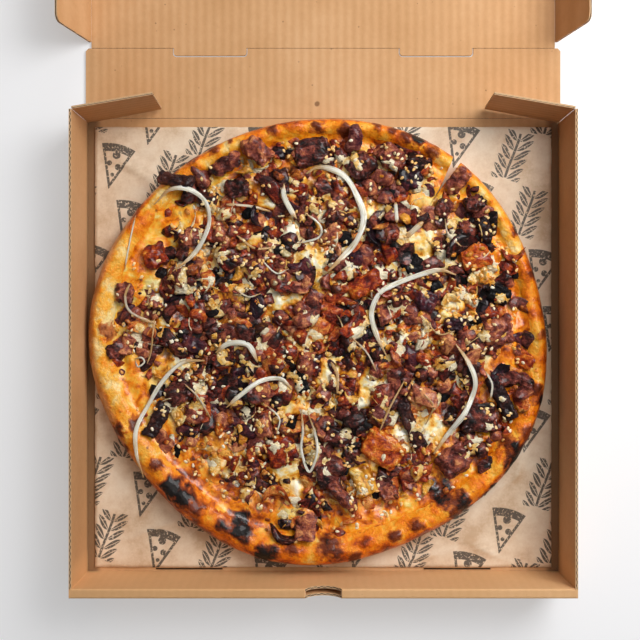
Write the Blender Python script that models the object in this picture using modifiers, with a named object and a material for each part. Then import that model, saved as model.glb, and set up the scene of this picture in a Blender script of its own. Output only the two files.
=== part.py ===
"""A topped pizza on a paper liner in the tray of an open corrugated pizza box.

The box is one folded blank. Its back wall and lid lie flat behind the tray, the lid's three flaps stand
up, and the two corner flaps of the side walls lean back over the crease. All sizes are in metres, +Z is
up, X runs along the hinges and the tray's front wall faces -Y. The origin is the middle of the tray's
underside.
"""

import math
import random

import bmesh
import bpy
from mathutils import Matrix, Vector, noise
from mathutils.bvhtree import BVHTree

MM = 0.001

# Driving sizes of the box
BOARD = 1.6 * MM
HALF_INSIDE = 154.2 * MM
TRAY_DEPTH = 303.0 * MM
WALL_TOP = 47.0 * MM
RIDGE = 6.0 * MM
BACK_WALL_HEIGHT = 46.0 * MM
CREASE_GAP = 0.15 * MM
FIT = 0.5 * MM
FOLD_RADIUS = 1.2 * MM

# Where the box's panels lie
FRONT_Y = -TRAY_DEPTH / 2
CREASE_Y = TRAY_DEPTH / 2
HALF_OUTSIDE = HALF_INSIDE + BOARD
FRONT_INNER_Y = FRONT_Y + RIDGE
LID_CREASE_Y = CREASE_Y + BACK_WALL_HEIGHT

# The lid and its flaps
LID_HALF = HALF_INSIDE - FIT - BOARD
LID_SHORTER = 0.4 * MM
LID_LENGTH = CREASE_Y - FRONT_INNER_Y - FIT - BOARD - LID_SHORTER
FLAP_DEPTH = 43.0 * MM
FLAP_CORNER = 5.0 * MM
FLAP_TAPER = 2.0 * MM
FLAP_BACK_INSET = 3.9 * MM
FLAP_FRONT_INSET = 3.0 * MM
FRONT_FLAP_HALF = 149.0 * MM
FLAP_REST_DEG = 74.0

# The tabs of the lid that reach into the back wall
TAB_WIDTH = 49.0 * MM
TAB_CENTRE = 74.2 * MM
TAB_REACH = 5.0 * MM
TAB_SLOT = 0.6 * MM
TAB_CORNER = 2.5 * MM
NOTCH = 1.8 * MM

# The corner flaps of the side walls
CORNER_HINGE_Y = CREASE_Y - 3.2 * MM
CORNER_LENGTH = 49.5 * MM
CORNER_FOOT = 2.4 * MM
CORNER_FOOT_RISE = 2.6 * MM
CORNER_SLANT = 1.0 * MM
CORNER_REST_DEG = 9.9

# Cut-outs of the tray
VENT_WIDTH = 23.0 * MM
VENT_DROP = 8.0 * MM
LOCK_SLIT = (44.0 * MM, 1.2 * MM)
LOCK_CENTRE = 88.0 * MM
LOCK_FROM_WALL = 0.5 * MM

# The paper liner
PAPER = 0.4 * MM
LINER_HALF = 149.5 * MM
LINER_FRONT_Y = -143.0 * MM
LINER_BACK_Y = 145.5 * MM
LINER_Z = BOARD + 0.3 * MM

# The pizza's dough
PIZZA_X, PIZZA_Y = -2.0 * MM, 4.3 * MM
PIZZA_RADIUS = 145.5 * MM
OUTLINE_WAVES = ((1, 1.7, 86), (2, 1.9, 0), (3, 0.8, 54), (4, 1.7, -17), (5, 1.0, -29))
CRUST_Z = LINER_Z + PAPER + 0.3 * MM
RIM_HEIGHT = 16.5 * MM
RIM_WIDTH = 21.0 * MM
RIM_WIDEST_DEG = 245
RIM_WIDTH_SWING = 0.3
RIM_HEIGHT_SWING = 0.14
RIM_LUMPS = 0.15
RIM_LUMP_RATE = 3.1
DOUGH = 5.0 * MM
AROUND = 88

# The baked cheese and chopped meat on it
BED_TOP = 12.0 * MM
BED_SWELL = 1.3 * MM
BED_SWELL_LENGTH = 34.0 * MM
BED_GAP = 0.5 * MM
BED_LIP = (2.0 * MM, 1.4 * MM)
TOPPING_GAP = 0.5 * MM
MOULDED = 0.22
UNEVEN = 0.09

# The small pieces fused on the bed: their sizes, how far out they go and how clear they stay of others
SMALL_REACH = 0.80 * PIZZA_RADIUS
CHOP_SPACING = 15.5 * MM
CHOP_ROW_SHARE = 0.87
CHOP_STRAY = 2.5 * MM
CHOP_LENGTHS, CHOP_WIDTHS, CHOP_HEIGHTS = (8, 12), (6, 9), (6, 8)
CHOP_INSET = 4.0 * MM
CHOP_FROM_TOPPING = 7.5 * MM
CHOP_FROM_CURL = 8.5 * MM
SEED_COUNT = 56
SEED_HALF = (1.7 * MM, 1.0 * MM, 0.9 * MM)
SEED_LIFT = 0.3 * MM
SEED_FROM_TOPPING = 2.5 * MM
SEED_FROM_CURL = 4.0 * MM
SEED_FROM_PIECE = 8.0 * MM

# The gap left where one slice was started at the rim
SLIT_OUTER = (85.5 * MM, 121.0 * MM)
SLIT_INNER = (68.1 * MM, 92.2 * MM)
SLIT_WIDTHS = (6.5 * MM, 0.8 * MM)
SLIT_CUT_FOOT, SLIT_CUT_HEIGHT = 1.0 * MM, 30.0 * MM

KRAFT = (0.62, 0.40, 0.22)
PAPER_TAN = (0.72, 0.58, 0.44)
CRUST_GOLD = (0.80, 0.42, 0.10)
BED_BROWN = (0.40, 0.20, 0.10)
MEAT_RED = (0.22, 0.06, 0.04)
CHARRED = (0.02, 0.02, 0.02)
ONION_PURPLE = (0.13, 0.05, 0.08)
ONION_WHITE = (0.78, 0.72, 0.55)
PEPPER_RED = (0.55, 0.12, 0.03)
OCHRE = (0.60, 0.36, 0.08)

# Toppings as large as a berry: x, y, length, width and height in mm, and the turn in degrees
MEATS = (
    (-42, 127, 19, 12, 7, -40), (-7, 127, 22, 17, 8, 10), (-63, 118, 20, 8, 6, 25),
    (44, 124, 16, 13, 8, -30), (24, 118, 17, 15, 9, 40), (86, 108, 17, 10, 6, 55),
    (97, 94, 13, 9, 8, 20), (77, 90, 12, 10, 9, 70), (-86, 72, 13, 11, 8, 30),
    (-55, 104, 14, 12, 9, 15), (112, 12, 18, 16, 8, 10), (100, -44, 22, 17, 9, 0),
    (84, -71, 20, 17, 9, 35), (-127, 36, 10, 12, 6, 0), (-92, -28, 18, 14, 9, 30),
    (42, -93, 10, 9, 6, 20), (10, -56, 18, 11, 8, -15), (13, -95, 24, 8, 7, -48),
)
CHARS = (
    (58, 54, 13, 12, 7, 40), (113, 36, 14, 12, 7, -30), (-15, -19, 8, 17, 6, 15),
)
STRIPS = (
    (-94, 108, 23, 8, 5, -12), (114, -31, 30, 9, 6, -62), (-106, -45, 24, 9, 5, 64),
    (56, -48, 34, 8, 6, -66), (103, 77, 16, 8, 7, -72),
)
ONIONS = (
    (20, 135, 9, 16, 7, -10), (56, 110, 14, 13, 7, 25), (66, 31, 14, 12, 6, -20),
    (-83, 3, 16, 9, 6, -20), (84, 16, 12, 10, 6, 0),
)
PEPPERS = (
    (98, 59, 18, 14, 7, 20), (27, 42, 21, 12, 8, 30), (-27, -65, 19, 17, 8, 30),
    (38, -64, 26, 19, 8, -35), (-108, 60, 15, 14, 7, 20),
)
WEDGES = (
    (26, -84, 20, 14, 7, -70),
)

# Curls of shredded onion that lie over everything: points along each one, in mm
CURLS = (
    ((-108, 93), (-98, 102), (-85, 102), (-75, 94), (-73, 81), (-78, 68), (-86, 58), (-96, 50)),
    ((-11, 113), (-4, 117), (5, 116), (15, 110), (22, 98), (26, 85), (22, 71), (13, 60), (3, 50)),
    ((-17, 84), (-21, 90), (-25, 98), (-25, 106)),
    ((85, 48), (75, 51), (62, 48), (46, 42), (36, 36), (31, 24), (34, 10), (41, -5)),
    ((84, 4), (93, -9), (97, -23), (91, -39), (81, -53), (71, -67)),
    ((-69, -2), (-60, 4), (-48, 3), (-42, -8)),
    ((-76, -7), (-90, -8), (-102, -19), (-112, -35), (-119, -50), (-119, -66), (-115, -82)),
    ((-62, -37), (-53, -29), (-40, -20), (-27, -19), (-20, -26)),
    ((-14, -38), (-13, -52), (-14, -64), (-9, -78), (-4, -66), (-5, -54), (-10, -40)),
)
CURL_RADIUS = 1.3 * MM
CURL_GAP = 0.6 * MM
CURL_REACH = 4.5 * MM

# Heights are read along rays that start above everything, and rings are marked by steps of height
ABOVE_ALL = 0.1
RING_STEP = 1.0 * MM

parts = bpy.data.collections.new("pizza_in_box")
guides = bpy.data.collections.new("cutters")


def material(name, colour, roughness):
    """A plain finish of one colour."""
    made = bpy.data.materials.get(name) or bpy.data.materials.new(name)
    made.use_nodes = True
    shader = made.node_tree.nodes["Principled BSDF"]
    shader.inputs["Base Color"].default_value = (*colour, 1.0)
    shader.inputs["Roughness"].default_value = roughness
    shader.inputs["Metallic"].default_value = 0.0
    return made


def add(name, mesh, finish=None, collection=parts):
    """A new object that carries a mesh."""
    made = bpy.data.objects.new(name, mesh)
    collection.objects.link(made)
    if finish:
        mesh.materials.clear()
        mesh.materials.append(finish)
    return made


def evaluated_mesh(source):
    """The mesh of an object with its modifiers applied, welded shut; the object is then removed."""
    bpy.context.view_layer.update()
    graph = bpy.context.evaluated_depsgraph_get()
    mesh = bpy.data.meshes.new_from_object(source.evaluated_get(graph))
    mesh.transform(source.matrix_world)
    bpy.data.objects.remove(source)
    shape = bmesh.new()
    shape.from_mesh(mesh)
    bmesh.ops.remove_doubles(shape, verts=shape.verts, dist=1e-6)
    bmesh.ops.recalc_face_normals(shape, faces=shape.faces)
    shape.to_mesh(mesh)
    shape.free()
    return mesh


def flat_mesh(outlines, thickness, place=Matrix.Identity(4)):
    """A sheet from closed outlines in its own XY plane, from z 0 up to its thickness, then placed."""
    curve = bpy.data.curves.new("outline", "CURVE")
    curve.dimensions = "2D"
    curve.fill_mode = "BOTH"
    curve.extrude = thickness / 2
    for outline in outlines:
        spline = curve.splines.new("POLY")
        spline.points.add(len(outline) - 1)
        for point, (x, y) in zip(spline.points, outline):
            point.co = (x, y, 0, 1)
        spline.use_cyclic_u = True
    sheet = bpy.data.objects.new("outline", curve)
    parts.objects.link(sheet)
    sheet.matrix_world = place @ Matrix.Translation((0, 0, thickness / 2))
    return evaluated_mesh(sheet)


def box_mesh(low, high):
    """A block between two corners."""
    shape = bmesh.new()
    size = Vector(high) - Vector(low)
    place = Matrix.Translation((Vector(low) + Vector(high)) / 2) @ Matrix.Diagonal((*size, 1))
    bmesh.ops.create_cube(shape, size=1, matrix=place)
    mesh = bpy.data.meshes.new("block")
    shape.to_mesh(mesh)
    shape.free()
    return mesh


def arc(centre, radius, start_deg, end_deg, steps=4):
    """Points on an arc, both ends included."""
    turns = (math.radians(start_deg + (end_deg - start_deg) * i / steps) for i in range(steps + 1))
    return [(centre[0] + radius * math.cos(t), centre[1] + radius * math.sin(t)) for t in turns]


def rectangle(x0, y0, x1, y1):
    return [(x0, y0), (x1, y0), (x1, y1), (x0, y1)]


def combine(target, others, operation, solver="EXACT"):
    """Joins or cuts an object with a collection of objects, applies it and removes them."""
    step = target.modifiers.new("combine", "BOOLEAN")
    step.operation = operation
    step.solver = solver
    step.operand_type = "COLLECTION"
    step.collection = others
    bpy.context.view_layer.update()
    graph = bpy.context.evaluated_depsgraph_get()
    mesh = bpy.data.meshes.new_from_object(target.evaluated_get(graph))
    target.modifiers.clear()
    target.data = mesh
    for other in list(others.objects):
        bpy.data.objects.remove(other)


def front_wall_outline():
    """The rolled front wall's section: two walls under a rounded ridge, open at the foot."""
    inner = RIDGE - BOARD
    foot, shoulder = BOARD / 2, WALL_TOP - FOLD_RADIUS
    outside = [(0, foot), *arc((FOLD_RADIUS, shoulder), FOLD_RADIUS, 180, 90)]
    outside += [*arc((RIDGE - FOLD_RADIUS, shoulder), FOLD_RADIUS, 90, 0), (RIDGE, foot)]
    inside = [(inner, foot), (inner, WALL_TOP - BOARD), (BOARD, WALL_TOP - BOARD), (BOARD, foot)]
    return outside + inside


def vent_mesh():
    """A cylinder along Y that cuts the vent's shallow arc into the top of the front wall."""
    radius = (VENT_WIDTH ** 2 / 4 + VENT_DROP ** 2) / (2 * VENT_DROP)
    centre = (0, (FRONT_Y + FRONT_INNER_Y) / 2, WALL_TOP - VENT_DROP + radius)
    place = Matrix.Translation(centre) @ Matrix.Rotation(math.radians(90), 4, "X")
    shape = bmesh.new()
    bmesh.ops.create_cone(shape, segments=40, radius1=radius, radius2=radius, depth=2 * RIDGE,
                          cap_ends=True, matrix=place)
    mesh = bpy.data.meshes.new("vent")
    shape.to_mesh(mesh)
    shape.free()
    return mesh


def tray(kraft):
    """The floor, both side walls and the rolled front wall, with its vent and lock slits."""
    floor = [rectangle(-HALF_OUTSIDE, FRONT_Y, HALF_OUTSIDE, CREASE_Y - CREASE_GAP)]
    slit_y = FRONT_INNER_Y + LOCK_FROM_WALL
    for side in (-1, 1):
        middle = side * LOCK_CENTRE
        reach = LOCK_SLIT[0] / 2
        floor.append(rectangle(middle - reach, slit_y, middle + reach, slit_y + LOCK_SLIT[1]))
    body = add("tray", flat_mesh(floor, BOARD), kraft)
    for side in (-1, 1):
        edges = sorted((side * HALF_INSIDE, side * HALF_OUTSIDE))
        low = (edges[0], FRONT_Y + BOARD / 2, BOARD / 2)
        add("side", box_mesh(low, (edges[1], CORNER_HINGE_Y, WALL_TOP)), collection=guides)
    upright = Matrix(((0, 0, 1, -HALF_OUTSIDE), (1, 0, 0, FRONT_Y), (0, 1, 0, 0), (0, 0, 0, 1)))
    add("front", flat_mesh([front_wall_outline()], 2 * HALF_OUTSIDE, upright), collection=guides)
    combine(body, guides, "UNION")

    add("vent", vent_mesh(), collection=guides)
    combine(body, guides, "DIFFERENCE")
    return body


def slot_edge(centre, width, reach, corner):
    """The edge of a shallow round-cornered slot that opens towards +Y, from left to right."""
    left, right = centre - width / 2, centre + width / 2
    points = [(left, 0), *arc((left + corner, corner - reach), corner, 180, 270)]
    return points + [*arc((right - corner, corner - reach), corner, 270, 360), (right, 0)]


def back_wall(kraft):
    """The back wall, lying flat, with two slots that take the lid's tabs."""
    half, top = HALF_OUTSIDE, -CREASE_GAP
    outline = [(-half, CREASE_GAP - BACK_WALL_HEIGHT), (half, CREASE_GAP - BACK_WALL_HEIGHT)]
    outline += [(half, top - NOTCH), (half - NOTCH, top)]
    for side in (1, -1):
        edge = slot_edge(side * TAB_CENTRE, TAB_WIDTH, TAB_REACH + TAB_SLOT, TAB_CORNER)
        outline += [(x, y + top) for x, y in reversed(edge)]
    outline += [(-half + NOTCH, top), (-half, top - NOTCH)]
    place = Matrix.Translation((0, LID_CREASE_Y, 0))
    return add("back_wall", flat_mesh([outline], BOARD, place), kraft)


def lid_panel(kraft):
    """The lid, lying flat, with the two tabs on its hinge edge."""
    length = LID_LENGTH - CREASE_GAP
    outline = [(LID_HALF, CREASE_GAP), (LID_HALF, length), (-LID_HALF, length), (-LID_HALF, CREASE_GAP)]
    for side in (-1, 1):
        width = TAB_WIDTH - 2 * TAB_SLOT
        edge = slot_edge(side * TAB_CENTRE, width, TAB_REACH, TAB_CORNER - TAB_SLOT)
        outline += [(x, y + CREASE_GAP) for x, y in edge]
    place = Matrix.Translation((0, LID_CREASE_Y, 0))
    return add("lid_panel", flat_mesh([outline], BOARD, place), kraft)


def flap_outline(start, end, depth, taper, corner):
    """A flap hinged along its own X axis, reaching +Y, with rounded outer corners."""
    top = depth - corner
    points = [(start, CREASE_GAP), (end, CREASE_GAP)]
    points += arc((end - taper - corner, top), corner, 0, 90)
    points += arc((start + taper + corner, top), corner, 90, 180)
    return points


def hinge_empty(name, location, turn):
    """A frame on a crease: its X axis runs along the crease, and the turn folds what it carries."""
    empty = bpy.data.objects.new(name, None)
    parts.objects.link(empty)
    empty.matrix_world = Matrix.Translation(location) @ turn
    return empty


def lid_flaps(kraft):
    """Both side flaps and the front flap of the lid, each standing on its crease."""
    fold = Matrix.Rotation(math.radians(FLAP_REST_DEG), 4, "X") @ Matrix.Translation((0, 0, -BOARD))
    start, end = FLAP_BACK_INSET, LID_LENGTH - FLAP_FRONT_INSET
    for side, name in ((-1, "lid_flap_left"), (1, "lid_flap_right")):
        run = (start, end) if side < 0 else (-end, -start)
        outline = flap_outline(*run, FLAP_DEPTH, FLAP_TAPER, FLAP_CORNER)
        flap = add(name, flat_mesh([outline], BOARD), kraft)
        turn = Matrix.Rotation(math.radians(-90 * side), 4, "Z") @ fold
        flap.parent = hinge_empty(name + "_crease", (side * LID_HALF, LID_CREASE_Y, BOARD), turn)
    outline = flap_outline(-FRONT_FLAP_HALF, FRONT_FLAP_HALF, FLAP_DEPTH, 2 * FLAP_TAPER, FLAP_CORNER)
    flap = add("lid_front_flap", flat_mesh([outline], BOARD), kraft)
    crease = (0, LID_CREASE_Y + LID_LENGTH, BOARD)
    flap.parent = hinge_empty("lid_front_flap_crease", crease, fold)


def corner_flaps(kraft):
    """The side walls' flaps at the back corners, leaning back past the crease of the back wall."""
    height = WALL_TOP - CORNER_FOOT
    for side, name in ((-1, "corner_flap_left"), (1, "corner_flap_right")):
        near, far = -side * CREASE_GAP, -side * CORNER_LENGTH
        outline = [(near, 0), (far, CORNER_FOOT_RISE), (far - side * CORNER_SLANT, height), (near, height)]
        upright = Matrix.Rotation(math.radians(90), 4, "X") @ Matrix.Translation((0, 0, -BOARD))
        flap = add(name, flat_mesh([outline], BOARD, upright), kraft)
        lean = Matrix.Rotation(math.radians(-side * CORNER_REST_DEG), 4, "Z")
        hinge = (side * HALF_INSIDE, CORNER_HINGE_Y, CORNER_FOOT)
        flap.parent = hinge_empty(name + "_crease", hinge, lean)


def liner(paper):
    """The sheet of greaseproof paper under the pizza."""
    outline = rectangle(-LINER_HALF, LINER_FRONT_Y, LINER_HALF, LINER_BACK_Y)
    return add("paper_liner", flat_mesh([outline], PAPER, Matrix.Translation((0, 0, LINER_Z))), paper)


def outline_radius(turn):
    """How far the pizza reaches from its centre in a direction."""
    waves = sum(size * math.cos(n * (turn - math.radians(peak))) for n, size, peak in OUTLINE_WAVES)
    return PIZZA_RADIUS + waves * MM


def rim_width(turn):
    """The bare rim is widest at the front left and narrowest opposite."""
    return RIM_WIDTH * (1 + RIM_WIDTH_SWING * math.cos(turn - math.radians(RIM_WIDEST_DEG)))


def rim_height(turn):
    """The rim's height: it swells where it's wide, with the slow lumps of hand-stretched dough."""
    swell = RIM_HEIGHT_SWING * math.cos(turn - math.radians(RIM_WIDEST_DEG))
    spot = Vector((RIM_LUMP_RATE * math.cos(turn), RIM_LUMP_RATE * math.sin(turn), 0.4))
    return RIM_HEIGHT * (1 + swell + RIM_LUMPS * noise.noise(spot))


# The crust's section from the centre of its top outwards and round to its underside:
# the share of the rim's width in from the edge, and the share of its height
RIM_SECTION = (
    (1.02, 0.30), (0.80, 0.60), (0.62, 0.86), (0.42, 1.0), (0.24, 0.97), (0.10, 0.80),
    (0.0, 0.50), (0.06, 0.18), (0.20, 0.0),
)
BED_EDGE = 1


def rim_point(turn, step):
    """One point of the crust's section in one direction, as a radius and a height."""
    share, rise = RIM_SECTION[step]
    radius = outline_radius(turn) - share * rim_width(turn)
    if step == 0:
        return radius, CRUST_Z + DOUGH
    return radius, CRUST_Z + rise * rim_height(turn)


def bed_height(x, y):
    """The height of the baked bed's top over a point of the plan."""
    swell = noise.noise(Vector((x / BED_SWELL_LENGTH, y / BED_SWELL_LENGTH, 1.7)))
    return BED_TOP + BED_SWELL * swell


def turned(name, profile, shape_point, finish):
    """A profile of (nominal radius, height) turned by Screw, each point then placed by its ring."""
    mesh = bpy.data.meshes.new(name)
    rings = [(radius, 0, -index * RING_STEP) for index, radius in enumerate(profile)]
    mesh.from_pydata(rings, [(i, i + 1) for i in range(len(rings) - 1)], [])
    carrier = add(name, mesh)
    screw = carrier.modifiers.new("turn", "SCREW")
    screw.steps = screw.render_steps = AROUND
    screw.use_merge_vertices = True
    screw.merge_threshold = 0.00001
    mesh = evaluated_mesh(carrier)
    for vertex in mesh.vertices:
        ring = round(-vertex.co.z / RING_STEP)
        turn = math.atan2(vertex.co.y, vertex.co.x)
        radius, height = shape_point(ring, turn)
        vertex.co = (PIZZA_X + radius * math.cos(turn), PIZZA_Y + radius * math.sin(turn), height)
    made = add(name, mesh, finish)
    for face in mesh.polygons:
        face.use_smooth = True
    return made


def crust(finish):
    """The dough: a thin floor, a raised rim all round and a flat underside."""
    last = len(RIM_SECTION)

    def shape_point(ring, turn):
        if ring == 0:
            return 0.0, CRUST_Z + DOUGH
        if ring == last + 1:
            return 0.0, CRUST_Z
        return rim_point(turn, ring - 1)

    nominal = [0.0] + [0.1 + 0.01 * i for i in range(last)] + [0.0]
    return turned("pizza_crust", nominal, shape_point, finish)


def slit_cutter():
    """A wedge that opens the rim where one slice was started."""
    run = Vector(SLIT_OUTER) - Vector(SLIT_INNER)
    across = Vector((-run.y, run.x)).normalized()
    corners = []
    for end, width in ((SLIT_OUTER, SLIT_WIDTHS[0]), (SLIT_INNER, SLIT_WIDTHS[1])):
        for side in (-1, 1) if end is SLIT_OUTER else (1, -1):
            corners.append(tuple(Vector(end) + side * width / 2 * across))
    mesh = flat_mesh([corners], SLIT_CUT_HEIGHT, Matrix.Translation((0, 0, SLIT_CUT_FOOT)))
    return add("slit", mesh, collection=guides)


def bed_core(finish):
    """The bare bed of cheese and chopped meat, resting on the dough and the rim's inner slope."""
    inner_shares = (0.0, 0.30, 0.52, 0.70, 0.86)
    under = BED_EDGE + 1

    def shape_point(ring, turn):
        edge = outline_radius(turn) - RIM_SECTION[BED_EDGE][0] * rim_width(turn)
        if ring < len(inner_shares):
            radius = inner_shares[ring] * edge
            x, y = PIZZA_X + radius * math.cos(turn), PIZZA_Y + radius * math.sin(turn)
            return radius, bed_height(x, y)
        step = ring - len(inner_shares)
        if step < 2:
            radius, height = rim_point(turn, BED_EDGE)
            lip = (radius - BED_LIP[0], height + BED_LIP[1])
            return lip if step == 0 else (radius, height + BED_GAP)
        if step == 2:
            radius, height = rim_point(turn, 0)
            return radius, height + BED_GAP
        return 0.0, CRUST_Z + DOUGH + BED_GAP

    rings = len(inner_shares) + 1 + under
    nominal = [0.0] + [0.05 + 0.01 * i for i in range(rings - 1)] + [0.0]
    return turned("chopped_topping", nominal, shape_point, finish)


def tree_of(mesh, lowered=0.0):
    """A search tree of a mesh's surface, moved down by a distance."""
    shape = bmesh.new()
    shape.from_mesh(mesh)
    shape.transform(Matrix.Translation((0, 0, -lowered)))
    tree = BVHTree.FromBMesh(shape)
    shape.free()
    return tree


def surface_height(trees, x, y):
    """The height of the highest of some surfaces over a point of the plan."""
    hits = [tree.ray_cast(Vector((x, y, ABOVE_ALL)), Vector((0, 0, -1)))[0] for tree in trees]
    return max([hit.z for hit in hits if hit], default=CRUST_Z)


def chunk_mesh(size, turn_deg, place, draw, lie=Matrix.Identity(4), chamfer=0.24, bend=0.0):
    """A diced piece: a block with cut edges, uneven corners and, for a strip, a bend."""
    shape = bmesh.new()
    bmesh.ops.create_cube(shape, size=1, matrix=Matrix.Diagonal((*size, 1)))
    if bend:
        long_edges = [e for e in shape.edges if abs(e.verts[0].co.x - e.verts[1].co.x) > size[0] / 2]
        bmesh.ops.subdivide_edges(shape, edges=long_edges, cuts=3, use_grid_fill=True)
    if chamfer:
        edges = [e for e in shape.edges if e.calc_face_angle(0) > 1]
        bmesh.ops.bevel(shape, geom=edges, offset=chamfer * min(size), segments=1, affect="EDGES")
    for vertex in shape.verts:
        jitter = Vector((draw.uniform(-1, 1), draw.uniform(-1, 1), draw.uniform(-1, 1)))
        vertex.co += UNEVEN * min(size) * jitter
        vertex.co.y += bend * (vertex.co.x / size[0]) ** 2
    shape.transform(Matrix.Translation(place) @ lie @ Matrix.Rotation(math.radians(turn_deg), 4, "Z"))
    mesh = bpy.data.meshes.new("chunk")
    bmesh.ops.triangulate(shape, faces=shape.faces)
    shape.to_mesh(mesh)
    shape.free()
    return mesh


def slope(trees, x, y, reach=4.0 * MM):
    """The turn that lays a level piece along the surface at a point of the plan."""
    rise_x = surface_height(trees, x + reach, y) - surface_height(trees, x - reach, y)
    rise_y = surface_height(trees, x, y + reach) - surface_height(trees, x, y - reach)
    normal = Vector((-rise_x, -rise_y, 2 * reach))
    return Vector((0, 0, 1)).rotation_difference(normal).to_matrix().to_4x4()


def settle(mesh, trees, height):
    """Sets a piece down until it sinks a little, moulds its underside, then lifts it until it's clear."""
    def sinks(vertex):
        return surface_height(trees, vertex.co.x, vertex.co.y) + TOPPING_GAP - vertex.co.z

    deepest = max(sinks(vertex) for vertex in mesh.vertices)
    mesh.transform(Matrix.Translation((0, 0, deepest - MOULDED * height)))
    for vertex in mesh.vertices:
        vertex.co.z += max(0.0, sinks(vertex))
    while any(tree.overlap(tree_of(mesh, TOPPING_GAP)) for tree in trees):
        mesh.transform(Matrix.Translation((0, 0, TOPPING_GAP / 2)))


def large_toppings(kinds, trees, draw):
    """One object for each topping as large as a berry; returns the footprint and top of each."""
    footprints = []
    for stem, pieces, finish, bend in kinds:
        for index, (x, y, length, width, height, turn) in enumerate(pieces, 1):
            place = Vector((x, y, BED_TOP / MM)) * MM
            size = Vector((length, width, height)) * MM
            lie = slope(trees, place.x, place.y)
            mesh = chunk_mesh(size, turn, place, draw, lie, bend=bend * MM)
            settle(mesh, trees, size.z)
            add(f"{stem}_{index:02d}", mesh, finish)
            top = max(vertex.co.z for vertex in mesh.vertices)
            footprints.append((place.x, place.y, size.x / 2, size.y / 2, math.radians(turn), top))
    return footprints


def footprint_gap(x, y, footprint):
    """How far a point of the plan is outside a large topping; negative inside it."""
    cx, cy, half_length, half_width, turn, _ = footprint
    dx, dy = x - cx, y - cy
    along = dx * math.cos(turn) + dy * math.sin(turn)
    across = dy * math.cos(turn) - dx * math.sin(turn)
    return max(abs(along) - half_length, abs(across) - half_width)


def smooth_path(points, spacing=4.5 * MM):
    """Points at an even spacing along a smooth curve through the given ones."""
    ends = [Vector(p) * MM for p in points]
    ends = [2 * ends[0] - ends[1], *ends, 2 * ends[-1] - ends[-2]]
    path = []
    for a, b, c, d in zip(ends, ends[1:], ends[2:], ends[3:]):
        steps = max(1, round((c - b).length / spacing))
        for i in range(steps):
            t = i / steps
            path.append(0.5 * (2 * b + (c - a) * t + (2 * a - 5 * b + 4 * c - d) * t * t
                               + (3 * b - 3 * c + d - a) * t ** 3))
    return [*path, ends[-2]]


def onion_curls(footprints, trees, finish):
    """The long shreds of onion, laid over whatever is under them; returns their plan paths."""
    laid = []
    for index, points in enumerate(CURLS, 1):
        path = smooth_path(points)
        heights = []
        for p in path:
            base = surface_height(trees, p.x, p.y)
            tops = [f[5] for f in footprints if footprint_gap(p.x, p.y, f) < CURL_REACH]
            crossed = [z for q, z in laid if (q - p).length < CURL_REACH]
            heights.append(max([base, *tops, *crossed]) + CURL_RADIUS + CURL_GAP)
        count = len(path)
        eased = [max(heights[max(0, i - 1):i + 2]) for i in range(count)]
        curve = bpy.data.curves.new("curl", "CURVE")
        curve.dimensions = "3D"
        curve.bevel_depth = CURL_RADIUS
        curve.bevel_resolution = 0
        curve.use_fill_caps = True
        spline = curve.splines.new("POLY")
        spline.points.add(count - 1)
        for point, p, z in zip(spline.points, path, eased):
            point.co = (p.x, p.y, z, 1)
        tube = bpy.data.objects.new("curl", curve)
        parts.objects.link(tube)
        add(f"onion_curl_{index:02d}", evaluated_mesh(tube), finish)
        laid += [(p, z + CURL_RADIUS) for p, z in zip(path, eased)]
    return [q for q, _ in laid]


def fuse_small_pieces(bed, footprints, curl_points, trees, draw):
    """Chopped pieces and sesame seeds that show on the bed, joined to it."""
    rows = math.ceil(SMALL_REACH / CHOP_SPACING)
    small = bpy.data.collections.new("small_pieces")
    placed = []
    for row in range(-rows, rows + 1):
        for column in range(-rows, rows + 1):
            stray_x, stray_y = (draw.uniform(-1, 1) * CHOP_STRAY for _ in range(2))
            x = PIZZA_X + (column + 0.5 * (row % 2)) * CHOP_SPACING + stray_x
            y = PIZZA_Y + row * CHOP_ROW_SHARE * CHOP_SPACING + stray_y
            size = Vector([draw.uniform(*sizes) for sizes in (CHOP_LENGTHS, CHOP_WIDTHS, CHOP_HEIGHTS)]) * MM
            turn = draw.uniform(0, 180)
            if math.hypot(x - PIZZA_X, y - PIZZA_Y) > SMALL_REACH - CHOP_INSET:
                continue
            if min(footprint_gap(x, y, f) for f in footprints) < CHOP_FROM_TOPPING:
                continue
            if min((q - Vector((x, y))).length for q in curl_points) < CHOP_FROM_CURL:
                continue
            place = (x, y, surface_height(trees, x, y) + MOULDED * size.z)
            add("chop", chunk_mesh(size, turn, place, draw, chamfer=0), collection=small)
            placed.append((x, y))
    seeds = 0
    while seeds < SEED_COUNT:
        turn, radius = draw.uniform(0, math.tau), SMALL_REACH * math.sqrt(draw.random())
        x, y = PIZZA_X + radius * math.cos(turn), PIZZA_Y + radius * math.sin(turn)
        if min(footprint_gap(x, y, f) for f in footprints) < SEED_FROM_TOPPING:
            continue
        if min((q - Vector((x, y))).length for q in curl_points) < SEED_FROM_CURL:
            continue
        if min(math.hypot(x - a, y - b) for a, b in placed) < SEED_FROM_PIECE:
            continue
        shape = bmesh.new()
        place = Matrix.Translation((x, y, surface_height(trees, x, y) + SEED_LIFT))
        place = place @ Matrix.Rotation(draw.uniform(0, math.pi), 4, "Z") @ Matrix.Diagonal((*SEED_HALF, 1))
        bmesh.ops.create_uvsphere(shape, u_segments=5, v_segments=3, radius=1, matrix=place)
        mesh = bpy.data.meshes.new("seed")
        shape.to_mesh(mesh)
        shape.free()
        add("seed", mesh, collection=small)
        placed.append((x, y))
        seeds += 1
    combine(bed, small, "UNION", solver="MANIFOLD")


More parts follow.
